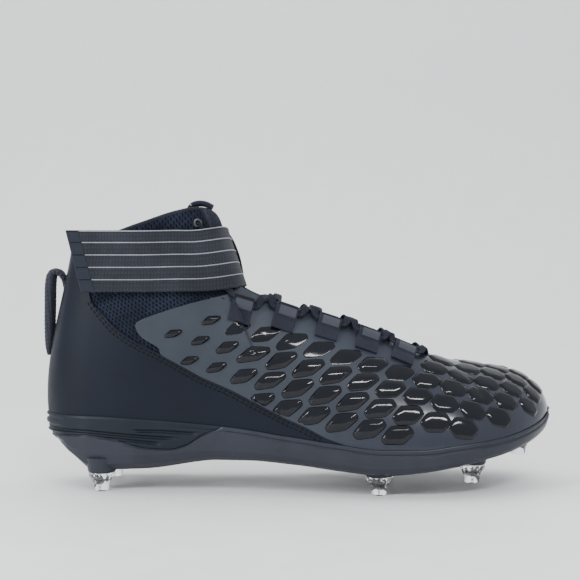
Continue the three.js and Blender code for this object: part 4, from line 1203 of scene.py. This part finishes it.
def makeStrap():
    share = np.linspace(0, 1, 40)
    columns = strapColumns(share)
    grid = np.array([throughPoints(columns[:, k], 300) for k in range(len(share))])
    strap = shapedGrid("strapBand", grid)
    facing(strap, lambda at: (1, 0, 0))
    walled(strap, strapLook["wall"], 0.5, offset=0)
    dress(strap, "strap", "strap_elastic", "ankle_strap")
    normals = unit(np.cross(np.gradient(grid, axis=1), np.gradient(grid, axis=0)))
    run = runAlong(grid[20])
    past = int(np.searchsorted(run, strapLook["tab"]))
    onBand, onTab = slice(past - 2, -3), slice(1, past)
    for place in strapLook["lines"]:
        row = place * (len(share) - 1)
        k = min(int(row), len(share) - 2)
        blend = row - k
        path = grid[k] * (1 - blend) + grid[k + 1] * blend
        up = unit(normals[k] * (1 - blend) + normals[k + 1] * blend)
        outer = path + up * (strapLook["wall"] / 2 + 0.05)
        line = [outer[onBand], up[onBand], strapLook["lineWidth"], 0.5, 0.8, 300, 4]
        dress(sweptBand("strapLine%d" % k, *line), "silver", "strap_elastic")
        outer = path + up * (strapLook["wall"] / 2 + 0.4)
        seam = [outer[onTab], up[onTab], 0.5, 0.35, 0.8, 30, 4]
        dress(sweptBand("strapTabSeam%d" % k, *seam), "thread", "strap_elastic")
    tab = shapedGrid("strapTab", grid[:, :past])
    facing(tab, lambda at: (0, -1, 0))
    walled(tab, strapLook["wall"] + 0.7, 0.6, offset=0)
    dress(tab, "tab", "strap_elastic")
    print("strap made")


# Lace loops: webbing folded over the lace. x of the length, z of the instep, and the fold's slope
loopTable = [
    [0.396, 0.952, -0.3], [0.481, 0.895, -0.34], [0.565, 0.836, -0.32],
    [0.642, 0.77, -0.36], [0.714, 0.695, -0.42],
]
webbing = {"width": 14, "length": 17, "wall": 1.1}
# slack and lean: how far each crossing stands off the tongue and swings forward, then the front bar
lace = {
    "width": 4.6, "wall": 1.2, "arch": 0.6, "slack": [3.4, 2.4, 1.2, 0.5, 0.2], "lean": [6, 5, 2, 0.5, 2],
}
tunnel = {"down": 3.2, "out": outside + last["gap"] + webbing["wall"] + (lace["wall"] + 2 * last["gap"]) / 2}
loopFrames = {}


def loopFrame(i, side):
    if (i, side) not in loopFrames:
        x, z, slope = loopTable[i]
        u, t = spotOn(side, x * last["length"], z * last["instep"])
        at, out, _, _ = surfaceFrame(u, side, t)
        along = unit(np.array([1, -(out[0] + out[2] * slope) / out[1], slope]))
        down = unit(np.cross(along, out)) * -side
        # How much the skin bends away below the loop, from four spots down its middle
        reach = np.array([5.0, 9, 13, 17])
        spots = [np.full(4, v) for v in (float(u), side, float(t))]
        ways = [np.tile(way, (4, 1)) for way in (along, down)]
        skin, _ = besideSpots(*spots, at, *ways, 0 * reach, reach)
        bend = float(np.median(-(skin - at) @ out / reach**2)) if i else 0.0
        loopFrames[i, side] = (at, out, along, down, min(max(bend, 0), 0.014))
    return loopFrames[i, side][:4]


def onLoop(i, side, down, along, out):
    # Points by lengths down the side, along the shoe and out of it, bent with the skin below the loop
    at, outWay, alongWay, downWay = loopFrame(i, side)
    down, along, out = np.broadcast_arrays(down, along, out)
    flat = at + along[..., None] * alongWay + down[..., None] * downWay
    sink = loopFrames[i, side][4] * down**2
    if i == 0:
        # The skin twists at the throat's corner, so the rear loop's end is laid on it spot by spot
        u, t = spotOn(side, flat[..., 0], flat[..., 2])
        skin, normal, _, _ = surfaceFrame(u, side, t)
        rise = (skin - flat)[..., 1] * normal[..., 1] / np.maximum(normal @ outWay, 0.4)
        sink = -np.clip(rise, -4, 4) * np.clip((down - 5) / 5, 0, 1)
    return flat + (out - sink)[..., None] * outWay


def loopProfile():
    # Outer face of the folded webbing, from the lower end up the front, over the fold and down the back:
    # how far down the side and how far out, to the middle of the webbing's wall
    low = outside + last["gap"] + webbing["wall"] / 2
    far = tunnel["down"] + lace["width"] / 2 + last["gap"]
    near = tunnel["down"] - lace["width"] / 2 - last["gap"]
    high = outside + last["gap"] + 1.5 * webbing["wall"] + lace["wall"] + 2 * last["gap"]
    return [
        [webbing["length"], low + 0.5], [far + 7, low + 0.75], [far + 3.6, low + 1.0],
        [far + 1.4, high - 0.5], [far - 0.6, high],
        [near + 1, high], [near - 0.2, high - 0.15], [near - 0.75, (high + low) / 2],
        [near - 0.2, low + 0.1], [near + 1.2, low], [far, low], [webbing["length"] - 1, low - 0.2],
    ]


def makeLaceLoop(i, side):
    at, out, along, down = loopFrame(i, side)
    profile = throughPoints(loopProfile(), 90)
    across = np.linspace(-0.5, 0.5, 18) * (webbing["width"] - 0.4)
    points = onLoop(i, side, profile[:, None, 0], across[None], profile[:, None, 1])
    loop = shapedGrid("laceLoop%d%s" % (i + 1, sideName[side].title()), points)
    facing(loop, lambda _: tuple(-out))
    walled(loop, webbing["wall"], 0.3, offset=0)
    dress(loop, "webbing", "webbing", "lace_loop_%s_%d" % (sideName[side], i + 1))
    # A smooth tape crosses the webbing under the fold, with two stitch lines above it
    spots = profile[:45]
    upper = spots[(spots[:, 0] > tunnel["down"] - 0.6) & (spots[:, 0] < tunnel["down"] + 5.2)]
    path = onLoop(i, side, upper[:, 0], 0.6, upper[:, 1] + webbing["wall"] / 2 + 0.1)
    ups = np.tile(out, (len(path), 1))
    band = sweptBand(loop.name + "Tape", path, ups, webbing["width"] * 0.76, 0.45, 0.25, 40, 8)
    dress(band, "smoothWebbing", "webbing")
    for k, place in enumerate((0.2, 1.5)):
        spot = tunnel["down"] - lace["width"] / 2 + place
        nearest = spots[np.abs(spots[:, 0] - spot).argmin()]
        reach = np.linspace(-1, 1, 5) * (webbing["width"] / 2 - 0.8)
        ends = onLoop(i, side, spot, reach, nearest[1] + webbing["wall"] / 2 + 0.02)
        seam = sweptBand(loop.name + "Seam%d" % k, ends, np.tile(out, (5, 1)), 0.45, 0.4, 0.8, 30, 3)
        dress(seam, "thread", "webbing")


def besideLoop(i, side, past, climb=0.0, lift=0.0, width=1.0):
    at, out, along, down = loopFrame(i, side)
    place = at + out * (tunnel["out"] + lift) + down * (tunnel["down"] - climb) + along * past
    return [*place, *out, lace["width"] * width, lace["wall"]]


tunnelEnd = webbing["width"] / 2 + last["gap"]


def leaveLoop(i, side, way):
    return [
        besideLoop(i, side, 0), besideLoop(i, side, way * tunnelEnd),
        besideLoop(i, side, way * (tunnelEnd + 1.8), 0.6, 0.6),
        besideLoop(i, side, way * (tunnelEnd + 3.8), lace["width"] + 0.6, 2.2),
    ]


def tongueFace():
    rows = np.array(tongueRows)[:8][::-1]
    return smoothColumn(rows[:, 0] * last["length"], rows[:, 1] * last["instep"])


def overThroat(start, end, ahead, slack):
    # slack is how far the middle of a crossing stands off the tongue
    face = tongueFace()
    steps = list(start)
    for share in (0.2, 0.35, 0.5, 0.65, 0.8):
        x, y, _ = np.array(start[-1][:3]) * (1 - share) + np.array(end[-1][:3]) * share
        lift = last["gap"] + lace["wall"] / 2 + lace["arch"] - y * y / (2 * tongueLook["crown"])
        swing = math.sin(math.pi * share) ** 0.7
        lift += slack * swing
        x += ahead * swing
        steps.append([x, y, float(face(x)) + lift, 0.32, 0, 0.95, lace["width"], lace["wall"]])
    return steps + end[::-1]


def sweptLace(name, steps, count=110):
    steps = np.array(steps, float)
    return sweptBand(name, steps[:, :3], steps[:, 3:6], steps[:, 6], steps[:, 7], 0.55, count, 9)


eyeletSpot = [0.31, 1.092]  # of the length and the collar's height
eyeletLook = {
    "flange": 0.7, "radius": 2.7, "bore": 1.5, "sides": 40,
    # The ring's outline: radius, and height above the knit
    "section": [
        [1.5, 1.0], [1.7, 1.15], [2.3, 1.2], [2.65, 1.0], [2.72, 0.6], [2.6, 0.3], [2.0, 0.25], [2.0, -2.2],
        [1.5, -2.2],
    ],
}


def eyeletFrame(side):
    u, t = spotOn(side, eyeletSpot[0] * last["length"], eyeletSpot[1] * last["collar"])
    at, out, _, _ = surfaceFrame(u, side, t)
    return at, out


def intoEyelet(side, before):
    at, out = eyeletFrame(side)
    back = np.array(before[:3]) - at
    back = unit(back - out * back.dot(out))
    bore = eyeletLook["bore"]
    top = last["gap"] + eyeletLook["flange"]
    rows = [
        [6, lace["wall"] + last["gap"], out, 0.8 * lace["width"], lace["wall"]],
        [eyeletLook["radius"] + 0.6, top + lace["wall"], out, 0.6 * lace["width"], lace["wall"]],
        [0.8, top + lace["wall"], out + back, 1.3 * bore, 0.8 * lace["wall"]],
        [0, top, back, 1.2 * bore, 0.8 * lace["wall"]],
        [0, -last["wall"], back, 1.2 * bore, 0.8 * lace["wall"]],
    ]
    return [
        [*(at + back * along + out * high), *unit(up), width, wall]
        for along, high, up, width, wall in rows
    ]


def lateralEnd():
    route = [
        [0.374, 0.785, outside + 0.9], [0.364, 0.83, 1.3], [0.35, 0.9, 0], [0.338, 0.97, 0], [0.328, 1.03, 0],
    ]
    run = []
    for x, z, lift in route:
        u, t = spotOn(lateral, x * last["length"], z * last["collar"])
        at, out, _, _ = surfaceFrame(u, lateral, t)
        run.append([*(at + out * (last["gap"] + lace["wall"] / 2 + lift)), *out, lace["width"], lace["wall"]])
    start = [besideLoop(0, lateral, 0), besideLoop(0, lateral, -tunnelEnd - 0.8)]
    return start + run + intoEyelet(lateral, run[-1])


def medialEnd():
    lift = strapLook["wall"] / 2 + last["gap"] + lace["wall"] / 2 + 0.5
    run = []
    for turn, share in [[0.8, 0.02], [0.7, 0.2], [0.63, 0.45], [0.67, 0.75], [0.78, 0.98], [0.88, 1.06]]:
        here, ahead, back = (strapOverFront(turn + step, np.array([share]))[0] for step in (0, 0.02, -0.02))
        out = -unit(np.cross([0, 0, 1.0], ahead - back))
        run.append([*(here + out * lift), *out, lace["width"], lace["wall"]])
    start = [
        besideLoop(0, medial, 0), besideLoop(0, medial, -tunnelEnd),
        besideLoop(0, medial, -tunnelEnd - 1.6, 0.3, 0.3),
    ]
    return start + run + intoEyelet(medial, run[-1])


def makeLaces():
    strands = []
    for i in range(len(loopTable) - 1):
        for side in (lateral, medial):
            # The upper strand of each crossing swings forward, the other lies on the tongue
            upper = side == medial
            lean, slack = (lace["lean"][i], lace["slack"][i]) if upper else (0, 0.3 * lace["slack"][i])
            steps = overThroat(leaveLoop(i, side, 1), leaveLoop(i + 1, -side, -1), lean, slack)
            strands.append(sweptLace("crossing%d" % len(strands), steps))
    front = len(loopTable) - 1
    ends = [leaveLoop(front, side, 1) for side in (lateral, medial)]
    strands.append(sweptLace("frontBar", overThroat(*ends, lace["lean"][front], lace["slack"][front])))
    strands.append(sweptLace("lateralEnd", lateralEnd(), 150))
    strands.append(sweptLace("medialEnd", medialEnd(), 180))
    laces = joined("flatLace", strands)
    dress(laces, "lace", "lace", "laces")
    for i in range(len(loopTable)):
        for side in (lateral, medial):
            makeLaceLoop(i, side)
    print("laces made")


def makeEyelets():
    # A ring of paint-coated metal, turned about the eyelet's own axis
    section = eyeletLook["section"]
    for side in (lateral, medial):
        at, out = eyeletFrame(side)
        first = unit(np.cross(out, [1.0, 0, 0]))
        second = np.cross(out, first)
        turn = np.linspace(0, 2 * np.pi, eyeletLook["sides"], endpoint=False)
        ringWay = np.cos(turn)[:, None] * first + np.sin(turn)[:, None] * second
        points = [at + ringWay * r + out * h for r, h in [*section, section[0]]]
        ring = shapedGrid("eyeletRing", np.array(points), ring=True)
        editAll(ring, turnOutwards)
        dress(smoothed(ring), "paint", "eyelet", "top_eyelet_" + sideName[side])


# Pull loops. x of the length, z of the collar's or the instep's height, share of the wall
heelLoopPath = [
    [0.039, 0.81, 0.45], [0.034, 0.862, 0.5], [0.0235, 0.893, 0.65], [0.0105, 0.89, 0.85], [0.0055, 0.85, 1],
    [0.0045, 0.75, 1], [0.004, 0.67, 0.95], [0.004, 0.59, 0.8], [0.005, 0.545, 0.45],
]
tongueLoopPath = [
    [0.332, 1.423], [0.318, 1.44], [0.303, 1.443], [0.291, 1.431], [0.287, 1.403], [0.3, 1.373],
    [0.326, 1.3625],
]
pullLook = {
    "heelWall": 6.6, "heelWidth": 11, "roundness": 0.75, "rib": 2.5, "ribDepth": 0.5,
    "tabWidth": 10, "tabWall": 3.7,
}


def makeHeelLoop():
    # A padded braid: its ribs meet in a chevron along the outer face
    path = throughPoints([[x * last["length"], 0, z * last["collar"], s] for x, z, s in heelLoopPath], 260)
    at, share = path[:, :3], path[:, 3]
    run = runAlong(at)
    along = unit(np.gradient(at, axis=0))
    across = np.array([0, 1.0, 0])
    out = unit(np.cross(along, across))
    turn = np.linspace(0, 2 * np.pi, 40, endpoint=False)
    wide, thick = np.cos(turn), np.sin(turn)
    side, face = rounded(wide, pullLook["roundness"])[None], rounded(thick, pullLook["roundness"])[None]
    phase = run[:, None] / pullLook["rib"] + np.abs(wide)[None] * 1.1
    swell = np.abs(np.sin(np.pi * phase)) * pullLook["ribDepth"]
    half = pullLook["heelWall"] / 2 * share
    points = (
        at[:, None] + across * (side * (pullLook["heelWidth"] / 2 - 0.5 + swell))[..., None]
        + out[:, None] * (face * (half[:, None] - 0.4 + swell))[..., None]
    )
    loop = smoothed(shapedGrid("heelPullLoop", points, ring=True, caps=True), 60)
    dress(loop, "braid", "braid", "heel_loop")


def makeTongueLoop():
    path = np.array([[x * last["length"], 0, z * last["instep"]] for x, z in tongueLoopPath])
    ups = np.tile([1.0, 0, 1.0], (len(path), 1))
    loop = sweptBand("tonguePullLoop", path, ups, pullLook["tabWidth"], pullLook["tabWall"], 0.7, 120, 8)
    dress(loop, "webbing", "webbing", "tongue_loop")


# Pods: glossy domes that stand in the skin's windows
podLook = {
    "rise": 1.5, "toeRise": 0.75, "sides": 36, "firstX": 146.4, "firstZ": 78.2, "stepX": 15.95, "stepZ": -4.1,
    "rowLength": 13.4, "rowTilt": 62, "aboveRim": 1.2, "apart": 11, "leastScale": 0.45,
    # A pod sinks under webbing and the heel panel, and is left out where too little of it shows
    "underWebbing": 0.25, "under": 0.9,
    "mostHidden": 0.25, "leastShown": 0.4, "leastSpread": 0.72, "mostMissed": 0.8,
    "rings": [
        [1.0, -0.35], [0.985, 0.02], [0.94, 0.26], [0.86, 0.46],
        [0.58, 0.95], [0.52, 1.02], [0.3, 1.07], [0.0, 1.1],
    ],
}
lozenge = [[-1.0, -0.44], [-0.84, -1.0], [0.21, -0.75], [1.0, 0.38], [0.87, 1.0], [-0.32, 0.88]]
hexagon = [[-1.0, 0.1], [-0.56, -0.9], [0.5, -1.0], [1.0, -0.1], [0.56, 0.9], [-0.5, 1.0]]
# Along the shoe: x, half length and half height in millimetres, and the share of a plain hexagon
podSizes = [
    [70, 5.4, 2.5, 0.0], [104, 5.9, 3.0, 0.0], [116, 7.4, 4.1, 0.0], [131, 9.4, 5.4, 0.0],
    [147, 10.1, 5.9, 0.0], [190, 10.2, 6.1, 0.1], [228, 9.8, 6.5, 0.6],
    [252, 9.5, 6.8, 1.0], [282, 8.8, 6.6, 1.0], [305, 7.2, 5.8, 1.0],
]
# How far each ring of a pod draws in along it and across it: for the slanted form, then for the hexagon
drawIn = {
    "ring": [0, 0.3, 0.52, 0.58, 0.86, 1],
    "long": [0, 0.42, 0.66, 0.72, 0.93, 1], "high": [0, 0.16, 0.34, 0.42, 0.84, 1],
    "plainLong": [0, 0.4, 0.72, 0.8, 0.94, 1], "plainHigh": [0, 0.35, 0.62, 0.7, 0.91, 1],
}
# The first and the last pod of each row, counted along it, from the throat (-2) to the sole (3)
podRows = {0: [-3, 9], 1: [-4, 8], 2: [-3, 7], 3: [-1, 5], -1: [3, 9], -2: [4, 9]}
podMiddle = {-3: [6, 10]}  # the row along the middle of the toe


def podCentres(side):
    rows, places = [], []
    table = {**podRows, **podMiddle} if side == lateral else podRows
    for row, (first, final) in table.items():
        rows += [1 - row] * (final + 1 - first)
        places += range(first, final + 1)
    rows, places = np.array(rows), np.array(places)
    x, z = (podLook["first" + axis] + places * podLook["step" + axis] for axis in "XZ")
    u, t = spotOn(side, x, z)
    sides = np.full(u.shape, side)
    tilt = math.radians(podLook["rowTilt"])
    for _ in range(12):
        _, out, _, _ = overRidge(u, sides, t)
        forward, up = flatAxes(out, sides)
        length = rows * podLook["rowLength"] / 12
        u, t = onward(u, sides, t, forward, up, length * math.cos(tilt), length * math.sin(tilt))
    return u, sides, t


def podForm():
    form = ringStack("pod", podLook["sides"], [[10 * r, 10 * h] for r, h in podLook["rings"]])
    editAll(form, fillEnds, turnOutwards)
    points = corners(form) * 100
    angle = np.mod(np.arctan2(points[:, 1], points[:, 0]) + 1e-6, 2 * np.pi) / (np.pi / 3)
    sector = np.minimum(angle.astype(int), 5)
    share = angle - sector
    return form, {
        "sector": sector, "share": share - 0.08 * np.sin(2 * np.pi * share),
        "radius": np.hypot(points[:, 0], points[:, 1]), "height": points[:, 2],
    }


def podOutline(x):
    table = np.array(podSizes)
    half, high, plain = (np.interp(x, table[:, 0], table[:, k]) for k in (1, 2, 3))
    return (np.array(lozenge) * (1 - plain) + np.array(hexagon) * plain) * [half, high], plain


def flatPod(shape, x, side, scale):
    # The pod's corners in its own plane
    outline, plain = podOutline(x)
    outline = outline * scale
    outline = outline[::-1] if side == medial else outline
    share = shape["share"][:, None]
    flat = outline[shape["sector"]] * (1 - share) + outline[(shape["sector"] + 1) % 6] * share
    flat = flat * (1 - 0.05 * np.abs(np.cos(np.pi * share)) ** 8)
    slanted, even = (
        np.stack([np.interp(shape["radius"], drawIn["ring"], drawIn[name]) for name in names], -1)
        for names in (("long", "high"), ("plainLong", "plainHigh"))
    )
    shift = np.array([-0.03, 0.08]) * np.abs(outline).max(axis=0)
    return flat * (slanted * (1 - plain) + even * plain) + shift * (1 - shape["radius"][:, None])


def underLoops(points):
    # True where a lace loop's webbing lies over the skin
    covered = np.zeros(points.shape[:-1], bool)
    for i in range(len(loopTable)):
        for side in (lateral, medial):
            at, out, along, down = loopFrame(i, side)
            off = points - at
            beside = (np.abs(off @ along) < webbing["width"] / 2 + 0.6) & (np.abs(off @ down - 8) < 10)
            covered |= beside & (np.abs(off @ out) < 8)
    return covered


def pastSeam(points):
    # How far a point stands above the heel panel's seam, in side view
    seam = throughPoints(onSide(counterSeam[seamMeetsSkin:]), 300)
    return points[..., 2] - np.interp(points[..., 0], seam[:, 0], seam[:, 1])


def makePods():
    form, shape = podForm()
    spots = [np.concatenate(pair) for pair in zip(podCentres(lateral), podCentres(medial))]
    centres, out, _, _ = overRidge(*spots)
    high = np.array([np.abs(podOutline(x)[0][:, 1]).max() for x in centres[:, 0]])
    scale = np.minimum(1, (centres[:, 2] - rimAt(centres[:, 0]) - podLook["aboveRim"]) / high)
    kept = []
    for i, at in enumerate(centres):
        near = [np.linalg.norm(at - centres[k]) for k in kept]
        if scale[i] > podLook["leastScale"] and min(near, default=99) > podLook["apart"]:
            kept.append(i)
    u, side, t = (v[kept] for v in spots)
    centres, out, scale = centres[kept], out[kept], scale[kept]
    forward, up = flatAxes(out, side)
    flat = np.array([flatPod(shape, c[0], s, k) for c, s, k in zip(centres, side, scale)])
    wide = (len(kept), flat.shape[1])
    u, side, t = (np.broadcast_to(v[:, None], wide) for v in (u, side, t))
    forward, up = (np.broadcast_to(v[:, None], (*wide, 3)) for v in (forward, up))
    points, outs = besideSpots(u, side, t, centres[:, None], forward, up, flat[..., 0], flat[..., 1])
    lower = np.interp(centres[:, 0], [200, 250], [1, podLook["toeRise"]])
    rise = shape["height"][None] * podLook["rise"] * (lower * np.minimum(1, scale))[:, None]
    hidden = underLoops(points).mean(axis=1)
    off = points - centres[:, None]
    missed = np.abs(dotted(off, forward) - flat[..., 0]) + np.abs(dotted(off, up) - flat[..., 1])
    low = podLook["underWebbing"] * shape["height"][None]
    rise = np.where(hidden[:, None] > 0, np.minimum(rise, low), rise)
    # The heel panel covers what lies below its seam
    shown = np.clip((pastSeam(points) - 0.5) / 1.0, 0, 1)
    rise = (rise + podLook["under"]) * shown - podLook["under"]
    points = points + outs * (outside + rise)[..., None]
    spread = np.linalg.norm(points.max(axis=1) - points.min(axis=1), axis=1)
    wanted = [2 * podOutline(x)[0][:, 0].max() for x in centres[:, 0]] * np.minimum(1, scale)
    good = (hidden <= podLook["mostHidden"]) & (shown.mean(axis=1) >= podLook["leastShown"])
    good &= (spread >= podLook["leastSpread"] * wanted) & (missed.max(axis=1) <= podLook["mostMissed"])
    pods = []
    for i in np.flatnonzero(good):
        pods.append(copyOf(form, "pod%03d" % i))
        setCorners(pods[-1], inFrame(points[i]))
    bpy.data.objects.remove(form)
    dress(smoothed(joined("forefootPods", pods), 35), "pod", "moulded_skin")
    print("pods", len(pods))


makeUpper()
makeCounter()
makeSkin()
makeStitches()
makePods()
makeTongue()
makeInsole()
makeStuds(makeSole())
makeStrap()
makeLaces()
makeEyelets()
makeHeelLoop()
makeTongueLoop()
print("pieces made")
